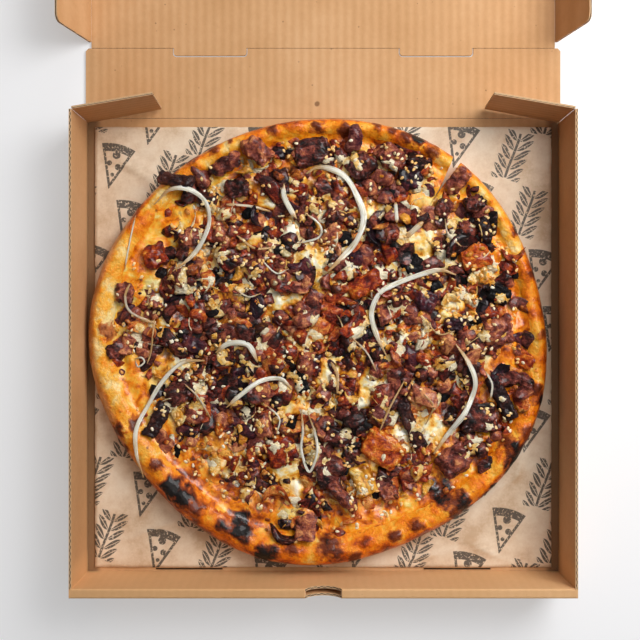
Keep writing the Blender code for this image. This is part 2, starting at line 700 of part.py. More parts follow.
def main():
    for old in list(bpy.data.objects):
        bpy.data.objects.remove(old)
    bpy.context.scene.collection.children.link(parts)
    bpy.context.scene.collection.children.link(guides)
    draw = random.Random(12)
    kraft = material("kraft board", KRAFT, 0.85)
    tray(kraft)
    back_wall(kraft)
    lid_panel(kraft)
    lid_flaps(kraft)
    corner_flaps(kraft)
    liner(material("greaseproof paper", PAPER_TAN, 0.6))

    dough = crust(material("baked crust", CRUST_GOLD, 0.5))
    bed = bed_core(material("cheese and chopped meat", BED_BROWN, 0.45))
    for cut in (dough, bed):
        slit_cutter()
        combine(cut, guides, "DIFFERENCE")
    kinds = (
        ("meat_chunk", MEATS, material("roast meat", MEAT_RED, 0.4), 0.0),
        ("charred_chunk", CHARS, material("charred meat", CHARRED, 0.7), 0.0),
        ("meat_strip", STRIPS, material("roast meat", MEAT_RED, 0.4), 4.0),
        ("red_onion", ONIONS, material("red onion", ONION_PURPLE, 0.35), 0.0),
        ("roast_pepper", PEPPERS, material("roast pepper", PEPPER_RED, 0.3), 0.0),
        ("onion_wedge", WEDGES, material("cooked onion", OCHRE, 0.3), 0.0),
    )
    trees = [tree_of(dough.data), tree_of(bed.data)]
    footprints = large_toppings(kinds, trees, draw)
    curl_points = onion_curls(footprints, trees, material("white onion", ONION_WHITE, 0.3))
    fuse_small_pieces(bed, footprints, curl_points, trees, draw)


main()
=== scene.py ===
"""The looks of a topped pizza in an open takeaway box of corrugated board.

Everything is in metres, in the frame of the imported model: +Z up, +Y from the tray's front wall to the
lid. The box keeps its solids and gets finishes. The dough, the cheese, every topping and the paper are
made here as fine meshes over the plain solids that they replace.
"""

import math
import random

import bmesh
import bpy
import numpy as np
from mathutils import Matrix, Vector, noise
from mathutils.bvhtree import BVHTree


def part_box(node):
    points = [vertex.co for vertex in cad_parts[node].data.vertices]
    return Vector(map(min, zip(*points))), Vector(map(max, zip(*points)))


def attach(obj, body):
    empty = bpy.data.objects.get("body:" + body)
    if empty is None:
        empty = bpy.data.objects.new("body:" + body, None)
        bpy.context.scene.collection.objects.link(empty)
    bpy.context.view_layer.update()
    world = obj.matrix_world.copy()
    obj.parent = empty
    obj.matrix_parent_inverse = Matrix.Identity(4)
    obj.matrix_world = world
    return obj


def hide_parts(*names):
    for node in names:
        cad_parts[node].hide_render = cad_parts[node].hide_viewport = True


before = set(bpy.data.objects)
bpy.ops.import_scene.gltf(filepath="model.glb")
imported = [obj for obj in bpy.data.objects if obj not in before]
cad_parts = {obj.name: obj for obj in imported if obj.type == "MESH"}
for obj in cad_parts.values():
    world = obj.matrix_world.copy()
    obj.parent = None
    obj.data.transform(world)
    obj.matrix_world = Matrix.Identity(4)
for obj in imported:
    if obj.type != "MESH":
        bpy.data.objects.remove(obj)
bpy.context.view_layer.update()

MM = 0.001
BODY = "tray"

# The camera looks straight down, as the photograph does
CAMERA_PLACE = (-2.05 * MM, 19.05 * MM, 662.3 * MM)
CAMERA_LENS_MM = 56.6

# The pizza's outline and section, as in the part's own source
PIZZA_X, PIZZA_Y = -2.0 * MM, 4.3 * MM
PIZZA_RADIUS = 145.5 * MM
OUTLINE_WAVES = ((1, 1.7, 86), (2, 1.9, 0), (3, 0.8, 54), (4, 1.7, -17), (5, 1.0, -29))
CRUST_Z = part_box("pizza_crust")[0].z
RIM_HEIGHT = 16.5 * MM
RIM_WIDTH = 21.0 * MM
RIM_WIDEST_DEG = 245
RIM_SECTION = (
    (1.02, 0.30), (0.80, 0.60), (0.62, 0.86), (0.42, 1.0), (0.24, 0.97), (0.10, 0.80),
    (0.0, 0.50), (0.06, 0.18), (0.20, 0.0),
)
BED_TOP = 12.0 * MM
SLIT_DEG = 53.1
SLIT_LEAN_DEG = 1.7
SLIT_INNER_RADIUS = 112.0 * MM
SLIT_OUTER_RADIUS = 146.0 * MM
SLIT_WIDTH = 6.0 * MM

# The fold along the top of the front wall, across its two panels
RIDGE = 6.0 * MM

# Resolution of the fine meshes
AROUND = 640
RIM_STEPS = 44
BED_RINGS = 110
CRUST_INNER = 0.74
CHEESE_EDGE = 0.42
PAPER_POINTS = 130


def srgb(code):
    """A colour written as #rrggbb, as the linear colour that Blender's sockets take."""
    parts = [int(code[i:i + 2], 16) / 255 for i in (1, 3, 5)]
    return tuple(p / 12.92 if p <= 0.04045 else ((p + 0.055) / 1.055) ** 2.4 for p in parts) + (1.0,)


def math_operator(operation, swapped=False):
    """An operator of Value: it adds a Math node to the material."""
    def apply(self, other=0.0):
        first, second = (other, self) if swapped else (self, other)
        return self.finish.math(operation, first, second)
    return apply


class Value:
    """An output socket of a material's nodes that can stand in a formula."""

    def __init__(self, finish, socket):
        self.finish, self.socket = finish, socket

    __add__, __mul__ = math_operator("ADD"), math_operator("MULTIPLY")
    __sub__, __rsub__ = math_operator("SUBTRACT"), math_operator("SUBTRACT", True)
    __truediv__, __pow__, __mod__ = math_operator("DIVIDE"), math_operator("POWER"), math_operator("MODULO")
    __lt__, __gt__ = math_operator("LESS_THAN"), math_operator("GREATER_THAN")
    __abs__ = math_operator("ABSOLUTE")


class Finish:
    """One material: its node tree is built by short calls that hand values to each other."""

    def __init__(self, name, **sockets):
        self.material = bpy.data.materials.new(name)
        self.material.use_nodes = True
        self.tree = self.material.node_tree
        self.shader = self.tree.nodes["Principled BSDF"]
        self.wear(**sockets)
        self.object_space = self.value("TexCoord", output="Object")

    def node(self, kind, inputs=(), **settings):
        made = self.tree.nodes.new("ShaderNode" + kind)
        for key, value in settings.items():
            setattr(made, key, value)
        for key, value in dict(inputs).items():
            self.plug(made.inputs[key], value)
        return made

    def value(self, kind, inputs=(), output=0, **settings):
        return Value(self, self.node(kind, inputs, **settings).outputs[output])

    def plug(self, socket, value):
        if isinstance(value, Value):
            self.tree.links.new(value.socket, socket)
        else:
            socket.default_value = srgb(value) if isinstance(value, str) else value

    def math(self, operation, first, second=0.0, third=0.0):
        return self.value("Math", {0: first, 1: second, 2: third}, operation=operation)

    def greatest(self, first, *others):
        for other in others:
            first = self.math("MAXIMUM", first, other)
        return first

    def axes(self, vector=None):
        split = self.node("SeparateXYZ", {0: vector or self.object_space})
        return [Value(self, output) for output in split.outputs]

    def stretched(self, scale):
        return self.value("Mapping", {"Vector": self.object_space, "Scale": scale})

    def noise(self, scale, detail=3.0, roughness=0.55, vector=None, distortion=0.0):
        inputs = {"Vector": vector or self.object_space, "Scale": scale, "Detail": detail,
                  "Roughness": roughness, "Distortion": distortion}
        return self.value("TexNoise", inputs)

    def cells(self, scale):
        return self.value("TexVoronoi", {"Vector": self.object_space, "Scale": scale}, "Distance")

    def attribute(self, name):
        return self.value("Attribute", output="Fac", attribute_name=name)

    def band(self, value, low, high):
        """0 below low, 1 above high, smooth between; a low above high turns it round."""
        inputs = {"Value": value, "From Min": low, "From Max": high}
        return self.value("MapRange", inputs, interpolation_type="SMOOTHSTEP")

    def ramp(self, value, *stops):
        made = self.node("ValToRGB", {0: value})
        elements = made.color_ramp.elements
        while len(elements) < len(stops):
            elements.new(0.5)
        for element, (position, colour) in zip(elements, stops):
            element.position = position
            element.color = srgb(colour)
        return Value(self, made.outputs[0])

    def mix(self, share, first, second):
        return self.value("Mix", {0: share, 6: first, 7: second}, 2, data_type="RGBA")

    def dot(self, first, second):
        return self.value("VectorMath", {0: first, 1: second}, "Value", operation="DOT_PRODUCT")

    def bump(self, height, distance, strength=1.0):
        return self.value("Bump", {"Height": height, "Distance": distance, "Strength": strength})

    def wear(self, **sockets):
        """Sets or links the shader's sockets and returns the material."""
        for socket, value in sockets.items():
            self.plug(self.shader.inputs[socket.replace("_", " ")], value)
        return self.material


# Meshes

def piece(name, points, faces, material, replaces=(), slot=None, **attributes):
    """A new piece that rides on the tray, from arrays of points and faces, with a number for each point."""
    mesh = bpy.data.meshes.new(name)
    mesh.from_pydata(np.asarray(points).tolist(), [], faces if isinstance(faces, list) else faces.tolist())
    mesh.shade_smooth()
    for key, values in attributes.items():
        mesh.attributes.new(key, "FLOAT", "POINT").data.foreach_set("value", np.asarray(values, np.float32))
    mesh.materials.append(material)
    made = bpy.data.objects.new(name, mesh)
    bpy.context.scene.collection.objects.link(made)
    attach(made, BODY)
    if replaces:
        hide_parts(*replaces)
    return made


def ico_sphere(level):
    """The points and triangles of a unit sphere."""
    shape = bmesh.new()
    bmesh.ops.create_icosphere(shape, subdivisions=level, radius=1)
    points = np.array([v.co for v in shape.verts])
    faces = np.array([[v.index for v in f.verts] for f in shape.faces])
    shape.free()
    return points, faces


def lumps(points, scale, seed):
    """Smooth noise between about -1 and 1 at each point."""
    return np.array([noise.noise(Vector(p) / scale + Vector((seed, 1.7 * seed, -seed))) for p in points])


def plan_noise(x, y, size, seed):
    """Smooth noise over the plan, with lumps of about a size."""
    return noise.noise(Vector((x / size, y / size, seed)))


def within(value, low, high):
    return max(low, min(high, value))


def diced(draw, size, level=3, cuts=5, square=0.7, rough=0.3, curl=0.25):
    """A cut and cooked morsel of about the given size: torn and folded, with a few flat cut sides."""
    points, faces = ico_sphere(level)
    skin = points.copy()
    points = np.sign(points) * np.abs(points) ** square
    seed = draw.uniform(0, 50)
    folds = np.abs(lumps(skin, 0.75, seed)) * 2.2 - 0.55
    swell = 0.9 * lumps(skin, 1.1, seed + 3) + 0.8 * folds + 0.6 * lumps(skin, 0.36, seed + 9)
    points *= (1 + rough * swell)[:, None]
    points *= np.array(size) / 2
    for _ in range(cuts):
        side = np.array([draw.gauss(0, 1) for _ in range(3)])
        side /= np.linalg.norm(side)
        along = points @ side
        limit = along.max() * draw.uniform(0.5, 0.9)
        points -= np.clip(along - limit, 0, None)[:, None] * side * 0.92
    bend, swing = [within(draw.gauss(0, curl), -0.7, 0.7) for _ in range(2)]
    points[:, 2] += bend * (points[:, 0] ** 2) / size[0] * 2
    points[:, 1] += swing * (points[:, 0] ** 2) / size[0]
    return points, faces


def joined(shapes, places):
    """Copies of some shapes as one mesh: each place is (shape index, matrix, tint)."""
    points, faces, tints, start = [], [], [], 0
    for index, matrix, tint in places:
        shape, triangles = shapes[index]
        turn = np.array(matrix.to_3x3())
        points.append(shape @ turn.T + np.array(matrix.translation))
        faces.append(triangles + start)
        tints.append(np.full(len(shape), tint))
        start += len(shape)
    return np.concatenate(points), np.concatenate(faces), np.concatenate(tints)


def tree_of(objects, loose=()):
    """One search tree of some pieces' surfaces, and of loose pairs of points and faces."""
    points, faces = [], []
    for item in objects:
        start = len(points)
        points += [v.co[:] for v in item.data.vertices]
        faces += [[start + i for i in p.vertices] for p in item.data.polygons]
    for more, triangles in loose:
        faces += (triangles + len(points)).tolist()
        points += more.tolist()
    return BVHTree.FromPolygons(points, faces)


def grid_faces(rows, columns, closed=False):
    """Quads between the points of a grid; a closed one is a tube, with a cap on its first and last row."""
    faces = []
    for a in range(0, (rows - 1) * columns, columns):
        b = a + columns
        faces += [[a + i, a + i + 1, b + i + 1, b + i] for i in range(columns - 1)]
        if closed:
            faces.append([b - 1, a, b, b + columns - 1])
    if closed:
        faces.append(list(reversed(range(columns))))
        faces.append([(rows - 1) * columns + i for i in range(columns)])
    return faces


def drop(tree, x, y):
    """Where something let fall at a point of the plan meets a surface, and that surface's normal."""
    place, normal, _, _ = tree.ray_cast(Vector((x, y, 0.1)), Vector((0, 0, -1)))
    return place, normal


# The pizza's form

def polar(x, y):
    """A point of the plan as its direction and distance from the pizza's middle."""
    return math.atan2(y - PIZZA_Y, x - PIZZA_X), math.hypot(x - PIZZA_X, y - PIZZA_Y)


def outline_radius(turn):
    waves = sum(size * math.cos(n * (turn - math.radians(peak))) for n, size, peak in OUTLINE_WAVES)
    return PIZZA_RADIUS + waves * MM


def rim_width(turn):
    return RIM_WIDTH * (1 + 0.3 * math.cos(turn - math.radians(RIM_WIDEST_DEG)))


def rim_height(turn):
    swell = 0.14 * math.cos(turn - math.radians(RIM_WIDEST_DEG))
    spot = Vector((3.1 * math.cos(turn), 3.1 * math.sin(turn), 0.4))
    return RIM_HEIGHT * (1 + swell + 0.15 * noise.noise(spot))


def bed_height(x, y):
    swell = plan_noise(x, y, 0.034, 1.7)
    return BED_TOP + 1.3 * MM * swell


def on_curve(knots, along):
    """The point of the smooth curve through some knots, at a place counted in knots."""
    ends = [2 * knots[0] - knots[1], *knots, 2 * knots[-1] - knots[-2]]
    k = min(int(along), len(knots) - 2)
    t = along - k
    a, b, c, d = ends[k:k + 4]
    bend, twist = 2 * a - 5 * b + 4 * c - d, 3 * b - 3 * c + d - a
    return 0.5 * (2 * b + (c - a) * t + bend * t * t + twist * t ** 3)


def smooth_section(steps):
    """The rim's section as a smooth run of (share of width, share of height)."""
    knots = [Vector(k) for k in RIM_SECTION]
    return [on_curve(knots, i / steps * (len(knots) - 1)) for i in range(steps + 1)]


def column_turn(column, radius):
    """The direction of one column of a polar grid that opens at the slit, at a radius."""
    share = (radius / SLIT_OUTER_RADIUS - 1) / (1 - SLIT_INNER_RADIUS / SLIT_OUTER_RADIUS)
    lean = math.radians(SLIT_LEAN_DEG) * share
    return math.radians(SLIT_DEG) + lean + column / AROUND * math.tau


def slit_shift(column, radius):
    """How far a column's points move aside to open the slit at the rim."""
    share = (radius - SLIT_INNER_RADIUS) / (SLIT_OUTER_RADIUS - SLIT_INNER_RADIUS)
    width = SLIT_WIDTH / 2 * within(share, 0, 1) ** 2
    fade_start, fade_end = math.exp(-column / 12), math.exp(-(AROUND - column) / 12)
    return width * (fade_start - fade_end)


def polar_point(column, radius, height):
    turn = column_turn(column, radius)
    shift = slit_shift(column, radius)
    x = PIZZA_X + radius * math.cos(turn) - shift * math.sin(turn)
    y = PIZZA_Y + radius * math.sin(turn) + shift * math.cos(turn)
    return x, y, height


# Burnt and blistered places of the rim: x, y and radius in mm, and how burnt they are
SCORCHES = (
    (-96, -88, 9, 1.0), (-89, -94, 8, 1.0), (-54, -111, 9, 1.0), (-51, -118, 7, 0.9), (4, -126, 9, 0.75),
    (-38, -131, 8, 1.0), (-32, -129, 6, 0.9), (20, -132, 6, 0.7), (124, -64, 8, 1.0), (124, -72, 9, 1.0),
    (122, -80, 7, 1.0), (76, -92, 10, 0.9), (70, -88, 6, 0.75), (89, -98, 8, 0.9), (106, -95, 5, 0.9),
    (110, -88, 4, 1.0), (84, -105, 5, 0.8), (141, -32, 7, 0.95),
    (136, -25, 5, 0.7), (-4, 143, 5, 0.75), (34, 144, 4, 0.7), (45, 141, 4, 0.7), (54, 137, 6, 0.7),
    (61, 134, 5, 1.0), (-33, 141, 4, 0.75), (-87, 124, 6, 0.7), (-97, 117, 6, 0.6), (124, 77, 4, 0.8),
    (134, 49, 4, 0.8), (-120, -47, 5, 0.8), (-131, -52, 6, 0.75), (-128, -64, 4, 0.8), (-138, 12, 6, 0.55),
    (-80, -101, 6, 0.7), (-65, -112, 5, 0.8), (-20, -126, 5, 0.6), (46, -118, 5, 0.7), (60, -112, 5, 0.6),
    (118, -60, 6, 0.7), (-112, -88, 5, 0.8), (-70, 128, 5, 0.6), (14, 140, 6, 0.65), (70, 127, 6, 0.6),
    (141, 10, 4, 0.6), (-60, 134, 3, 0.7), (-106, -73, 5, 0.7), (130, -55, 6, 0.6), (-118, 92, 4, 0.5),
)


def scorch(points):
    """How burnt each point is by the listed places, and how far their blisters rise."""
    burnt, rise = np.zeros(len(points)), np.zeros(len(points))
    for x, y, radius, depth in SCORCHES:
        away = np.hypot(points[:, 0] - x * MM, points[:, 1] - y * MM) / (radius * MM)
        close = away < 2.2
        wobble = 0.5 * lumps(points[close] / MM, 4.0, radius + x) + 0.25 * lumps(points[close] / MM, 1.6, y)
        near = np.clip(1.15 - away[close] - wobble, 0, 1)
        burnt[close] = np.maximum(burnt[close], depth * np.minimum(1, 1.5 * near))
        rise[close] = np.maximum(rise[close], near ** 0.7 * min(1.0, radius / 6))
    return burnt, rise


# How much more baked the rim is round each direction: direction, reach in degrees, amount
BAKED_SIDES = (
    (270, 50, 0.20), (235, 20, 0.40), (-5, 38, 0.26), (95, 30, 0.10), (68, 12, 0.30), (180, 40, -0.12),
    (40, 16, -0.15), (140, 25, -0.02), (-35, 16, 0.1),
)


def baked_side(points):
    """How much more baked than the rest each point is, by its direction."""
    turn = np.degrees(np.arctan2(points[:, 1] - PIZZA_Y, points[:, 0] - PIZZA_X))
    total = np.zeros(len(points))
    for direction, reach, amount in BAKED_SIDES:
        away = (turn - direction + 180) % 360 - 180
        total += amount * np.exp(-(away / reach) ** 2)
    return total


def lumpy_crust(material):
    """The dough: the smooth rim with puffs, blisters and wrinkles, and where it's baked and burnt."""
    section = smooth_section(RIM_STEPS)
    points = []
    for column in range(AROUND + 1):
        base = column_turn(column, SLIT_OUTER_RADIUS)
        reach, width, height = outline_radius(base), rim_width(base), rim_height(base)
        points.append(polar_point(column, CRUST_INNER * reach, CRUST_Z + 4 * MM))
        for share, rise in section:
            points.append(polar_point(column, reach - share * width, CRUST_Z + rise * height))
        points.append(polar_point(column, CRUST_INNER * reach, CRUST_Z))
    rings = len(section) + 2
    points = np.array(points)
    outward = points - np.array((PIZZA_X, PIZZA_Y, 0))
    outward[:, 2] = 0
    outward /= np.linalg.norm(outward, axis=1)[:, None]
    ring = np.tile(np.arange(rings), AROUND + 1)
    upper = np.clip(1 - np.abs(ring - 0.42 * rings) / (0.34 * rings), 0, 1) ** 0.5
    burnt, rise = scorch(points)
    puffs = lumps(points / MM, 23.0, 3) * 1.8 + lumps(points / MM, 10.0, 5) * 1.1
    blisters = np.clip(lumps(points / MM, 6.5, 15) - 0.22, 0, 1) * 2.4
    skin = lumps(points / MM, 2.8, 7) * 0.3
    lift = (puffs + skin + blisters + 2.2 * rise) * MM * upper
    points[:, 2] += lift * 0.9
    points += outward * (lift * 0.2)[:, None]
    toast = 0.45 + 0.5 * lumps(points / MM, 14.0, 11) + baked_side(points) + 0.25 * blisters
    faces = grid_faces(AROUND + 1, rings, True)
    return piece("crust_dough", points, faces, material, ("pizza_crust",), "baked_crust",
                 burnt=burnt, toast=toast, height_share=ring / rings)


def burn(f, colour, fine, middle):
    """A colour with the burnt places over it: orange-brown, then red-brown, then black."""
    burnt = f.attribute("burnt") + (fine - 0.5) * 0.75 + (middle - 0.5) * 0.7
    colour = f.mix(f.band(burnt, 0.1, 0.34) * 0.85, colour, "#C05A16")
    colour = f.mix(f.band(burnt, 0.32, 0.62) * 0.92, colour, "#6A2408")
    return f.mix(f.band(burnt, 0.66, 0.92), colour, "#120A08")


def crust_finish():
    """Oily baked dough: pale gold to orange, red-brown freckles and black blisters."""
    f = Finish("baked dough", Roughness=0.42, Specular_IOR_Level=0.25, Coat_Weight=0.25, Coat_Roughness=0.08,
               Subsurface_Weight=0.06, Subsurface_Radius=(0.006, 0.003, 0.001), Subsurface_Scale=0.3)
    broad = f.noise(44, 4, 0.6, distortion=0.5)
    fine = f.noise(280, 5, 0.65)
    middle = f.noise(115, 4, 0.6, distortion=0.3)
    toast = f.attribute("toast") * 0.42 + broad * 1.1 + middle * 0.75 + fine * 0.5 - 0.945
    # browner down the rim's outer slope, all round
    toast = toast + f.band(f.attribute("height_share"), 0.42, 0.66) * 0.17
    colour = f.ramp(toast, (0.18, "#FFE098"), (0.34, "#FFBC44"), (0.50, "#FF9A18"), (0.64, "#F27C0C"),
                    (0.80, "#B84804"), (0.96, "#6A2204"))
    left = f.band(f.axes()[0], -118 * MM, -134 * MM)
    flour = f.band(left * 0.17 + f.attribute("height_share"), 0.60, 0.80)
    floury = f.mix(f.band(broad, 0.42, 0.60), "#B8743C", f.ramp(fine, (0.3, "#D89A60"), (0.7, "#F4C890")))
    colour = f.mix(flour * 0.9, colour, floury)
    freckles = f.band(f.cells(210), 0.17, 0.06) * f.band(f.noise(70, 2), 0.5, 0.6)
    dots = f.band(f.cells(95), 0.15, 0.07) * f.band(f.noise(40, 2), 0.5, 0.6)
    colour = f.mix(f.greatest(freckles, dots) * 0.85, colour, "#7E3210")
    colour = burn(f, colour, fine, middle)
    relief = middle * 1.3 + fine * 0.8 + f.noise(700, 3) * 0.35
    rough = f.noise(90, 2) * 0.6 + f.attribute("burnt") * 0.25 + 0.06
    return f.wear(Base_Color=colour, Roughness=rough, Normal=f.bump(relief, 0.0019, 0.9))


# Places where cheese shows between the toppings: x, y and the two half sizes in mm
CHEESE_PATCHES = (
    (60, 70, 22, 9), (82, -68, 9, 13), (-4, 58, 10, 9), (-70, -60, 12, 8), (-119, 58, 11, 22),
    (-112, -40, 11, 24), (-122, -14, 7, 18), (-86, -78, 18, 9), (-74, -88, 12, 10), (-44, -102, 28, 10),
    (-22, -92, 9, 8), (38, -112, 28, 9), (68, -100, 20, 10), (92, -90, 15, 9), (70, -52, 10, 12),
    (-30, 30, 7, 5), (-66, 109, 9, 7), (-52, 108, 7, 5), (-84, 78, 10, 14), (118, 8, 6, 18), (48, -58, 6, 8),
    (-18, -38, 8, 5), (-60, 2, 9, 6), (4, 118, 12, 5), (74, 106, 10, 6), (107, -12, 6, 9), (-25, -78, 10, 6),
    (-92, -10, 10, 5), (30, 20, 5, 4), (-38, -62, 6, 4), (60, 98, 10, 6), (-8, 12, 5, 5), (112, 66, 6, 10),
    (12, 36, 5, 4), (31, -19, 6, 8), (-44, 72, 7, 6), (-20, 76, 6, 6), (84, 30, 6, 6), (-56, 34, 6, 5),
    (2, -18, 6, 6), (52, 8, 6, 5), (-34, 96, 6, 5), (-100, 20, 7, 6), (28, 92, 5, 6), (24, -34, 5, 5),
)
# Where the toppings thin out towards the rim: direction, reach in degrees and how much
THIN_SIDES = ((225, 42, 0.62), (285, 24, 0.6), (318, 14, 0.5), (170, 26, 0.6), (140, 14, 0.6))


def thinned(x, y):
    """The share of the toppings that is left near the rim at a point of the plan."""
    turn, radius = polar(x, y)
    near = within((radius / free_radius(turn) - 0.80) / 0.10, 0, 1)
    lost = 0.0
    for direction, reach, amount in THIN_SIDES:
        away = (math.degrees(turn) - direction + 180) % 360 - 180
        lost = max(lost, amount * math.exp(-(away / reach) ** 2))
    return 1 - near * lost


def openness(x, y):
    """How far cheese shows at a point of the plan: 0 under toppings, 1 in the middle of an open place."""
    best = 0.0
    wobble = 0.5 * plan_noise(x, y, 0.007, 6.1)
    for px, py, half_x, half_y in CHEESE_PATCHES:
        away = math.hypot((x / MM - px) / half_x, (y / MM - py) / half_y)
        best = max(best, 1.5 - away + wobble)
    return within(best, 0, 1)


def flooded(x, y):
    """How far melted cheese has risen round the toppings at a point of the plan."""
    spot = plan_noise(x, y, 0.012, 31) + 0.5 * plan_noise(x, y, 0.005, 33)
    return within(2.6 * spot + 0.12, 0, 1)


def cheese_swell(x, y):
    """The lumps of the melted cheese at a point of the plan."""
    swell = 1.1 * plan_noise(x, y, 0.008, 21) + 0.5 * plan_noise(x, y, 0.0034, 23)
    return swell * MM


def soft_max(first, second, blend):
    """The greater of two heights, rounded where they are close."""
    share = within(0.5 + 0.5 * (first - second) / blend, 0, 1)
    return second + (first - second) * share + blend * share * (1 - share)


def cheese_bed(material, dough):
    """The melted cheese that holds the toppings, running up over the rim as a film with an uneven edge."""
    under = tree_of([dough])
    points, radial, bare = [], [], []
    for column in range(AROUND + 1):
        base = column_turn(column, SLIT_OUTER_RADIUS)
        reach, width = outline_radius(base), rim_width(base)
        wander = noise.noise(Vector((7 * math.cos(base), 7 * math.sin(base), 2.0)))
        wander += 0.5 * noise.noise(Vector((19 * math.cos(base), 19 * math.sin(base), 5.0)))
        edge = reach - (CHEESE_EDGE + 0.22 * wander) * width
        for ring in range(BED_RINGS):
            share = ring / (BED_RINGS - 1)
            radius = share * edge
            turn = column_turn(column, radius)
            x, y = PIZZA_X + radius * math.cos(turn), PIZZA_Y + radius * math.sin(turn)
            level = bed_height(x, y)
            shows = openness(x, y)
            spot = polar_point(column, radius, 0)
            pool = max(shows, 0.8 * flooded(x, y))
            z = level + (0.2 + 2.6 * pool) * MM + cheese_swell(x, y)
            rest, _ = drop(under, spot[0], spot[1])
            if rest:
                film = 0.6 * MM * min(1.0, 6 * (1 - share)) - 0.25 * MM
                z = soft_max(z, rest.z + film, 3 * MM)
                z += (rest.z + film - z) * max(0.0, 1 - 12 * (1 - share))
            points.append((spot[0], spot[1], z))
            radial.append(share)
            # how open the cheese lies; its finish paints shade in the gaps where this is low
            bare.append(pool)
    points, radial = np.array(points), np.array(radial)
    faces = grid_faces(AROUND + 1, BED_RINGS)
    skirt = len(points)
    below = points[np.r_[0:BED_RINGS, AROUND * BED_RINGS:(AROUND + 1) * BED_RINGS]]
    below[:, 2] = CRUST_Z + 2 * MM
    last = AROUND * BED_RINGS
    for i in range(BED_RINGS - 1):
        faces.append([i, skirt + i, skirt + i + 1, i + 1])
        low = skirt + BED_RINGS + i
        faces.append([last + i, last + i + 1, low + 1, low])
    points = np.concatenate((points, below))
    double = np.r_[0:BED_RINGS, last:last + BED_RINGS]
    radial = np.concatenate((radial, radial[double]))
    bare = np.concatenate((bare, np.array(bare)[double]))
    burnt, _ = scorch(points)
    return piece("melted_cheese", points, faces, material, (), "chopped_topping",
                 burnt=burnt, radial=radial, bare=bare, baked=baked_side(points))


def cheese_finish():
    """Cream and yellow cheese with orange oil and browned skin, and painted shade, near black, where the
    toppings cover it.
    """
    f = Finish("melted cheese", Specular_IOR_Level=0.35, Coat_Weight=0.35, Coat_Roughness=0.08,
               Subsurface_Weight=0.06, Subsurface_Radius=(0.004, 0.003, 0.0015), Subsurface_Scale=0.4)
    broad = f.noise(80, 3, 0.6, distortion=0.5)
    middle = f.noise(150, 4, 0.6, distortion=0.3)
    fine = f.noise(330, 4, 0.6)
    melt = fine * 0.22 + broad * 1.2 - 0.18
    radial = f.attribute("radial")
    # painted shade: the colour drops to near black where the cheese lies under the toppings (low bare), as
    # shade in the gaps between them
    cheese_tone_and_gap_shade = melt + f.attribute("bare") * 0.28 - f.band(radial, 0.6, 0.86) * 0.1 - 0.12
    inner = f.ramp(cheese_tone_and_gap_shade, (0.32, "#200B05"), (0.43, "#8A3A10"), (0.52, "#EE9824"), (0.61, "#FFCE64"),
                   (0.72, "#FFF0C0"), (0.85, "#FFFCEC"))
    browned = f.band(middle, 0.56, 0.68) * f.band(f.noise(60, 2), 0.48, 0.58)
    inner = f.mix(browned * 0.8, inner, "#B4541A")
    crisp = middle * 0.5 + melt - f.attribute("baked") * 0.22
    outer = f.ramp(crisp, (0.50, "#7A2C06"), (0.61, "#CC5E0A"), (0.73, "#FC9014"), (0.87, "#FFC040"),
                   (1.0, "#FFE890"))
    dark_red = f.band(f.noise(120, 3, 0.6, distortion=0.6), 0.57, 0.64) * 0.75
    outer = f.mix(dark_red * f.band(radial, 0.96, 0.84), outer, "#7E2408")
    colour = f.mix(f.band(radial, 0.66, 0.88), inner, outer)
    colour = burn(f, colour, fine, middle)
    normal = f.bump(fine * 0.35 + middle, 0.0014, 0.8)
    return f.wear(Base_Color=colour, Roughness=broad * 0.4 + 0.04, Normal=normal)


# Toppings

# Cooked food: the finish's name, how matt it is, its fat's colour and share, the oil on it, and its
# colours from the darkest morsel to the palest
COOKED = {
    "meat": ("roast meat", 0.2, "#C08478", 0.32, 0.4, (
        (0.0, "#060202"), (0.22, "#1E0907"), (0.42, "#56221C"), (0.61, "#8C4236"), (0.8, "#C06A48"),
        (1.0, "#F0A468"))),
    "bacon": ("bacon", 0.14, "#D89480", 0.32, 0.4, (
        (0.0, "#100302"), (0.26, "#480F0A"), (0.48, "#8E2A16"), (0.7, "#CC5820"), (1.0, "#F8A850"))),
    "char": ("charred meat", 0.45, "#302A2E", 0.25, 0.12, (
        (0.0, "#030204"), (0.5, "#0B090C"), (0.85, "#221A1A"), (1.0, "#4A2E22"))),
    "strip": ("charred strip", 0.35, "#6A4440", 0.3, 0.25, (
        (0.0, "#0A0506"), (0.5, "#281214"), (1.0, "#683628"))),
    "purple": ("red onion", 0.14, "#7C4658", 0.35, 0.4, (
        (0.0, "#070206"), (0.3, "#200A16"), (0.55, "#461826"), (0.78, "#743230"), (1.0, "#A86858"))),
    "pepper": ("roast pepper", 0.12, "#FFA838", 0.2, 0.4, (
        (0.0, "#2E0806"), (0.28, "#6E1810"), (0.5, "#A8340E"), (0.74, "#E06C18"), (1.0, "#FFB850"))),
    "crumb": ("minced meat", 0.24, "#F4B058", 0.35, 0.4, (
        (0.0, "#1C0A06"), (0.35, "#5C240E"), (0.65, "#A84E1A"), (0.88, "#E48830"), (1.0, "#FCC470"))),
    "ochre": ("browned onion", 0.16, "#FFF0BC", 0.45, 0.4, (
        (0.0, "#6E3206"), (0.35, "#C8741A"), (0.65, "#FAAE34"), (1.0, "#FFE8A4"))),
    "pale": ("soft onion", 0.1, "#FFFFFF", 0.3, 0.4, (
        (0.0, "#8E6C34"), (0.35, "#CDB883"), (0.65, "#F0E8CC"), (1.0, "#FFFFFA"))),
    "melt": ("cheese strings", 0.08, "#FFEEC0", 0.3, 0.4, (
        (0.0, "#D88426"), (0.3, "#F8BE58"), (0.55, "#FFDF9C"), (0.8, "#FFF2D0"))),
}


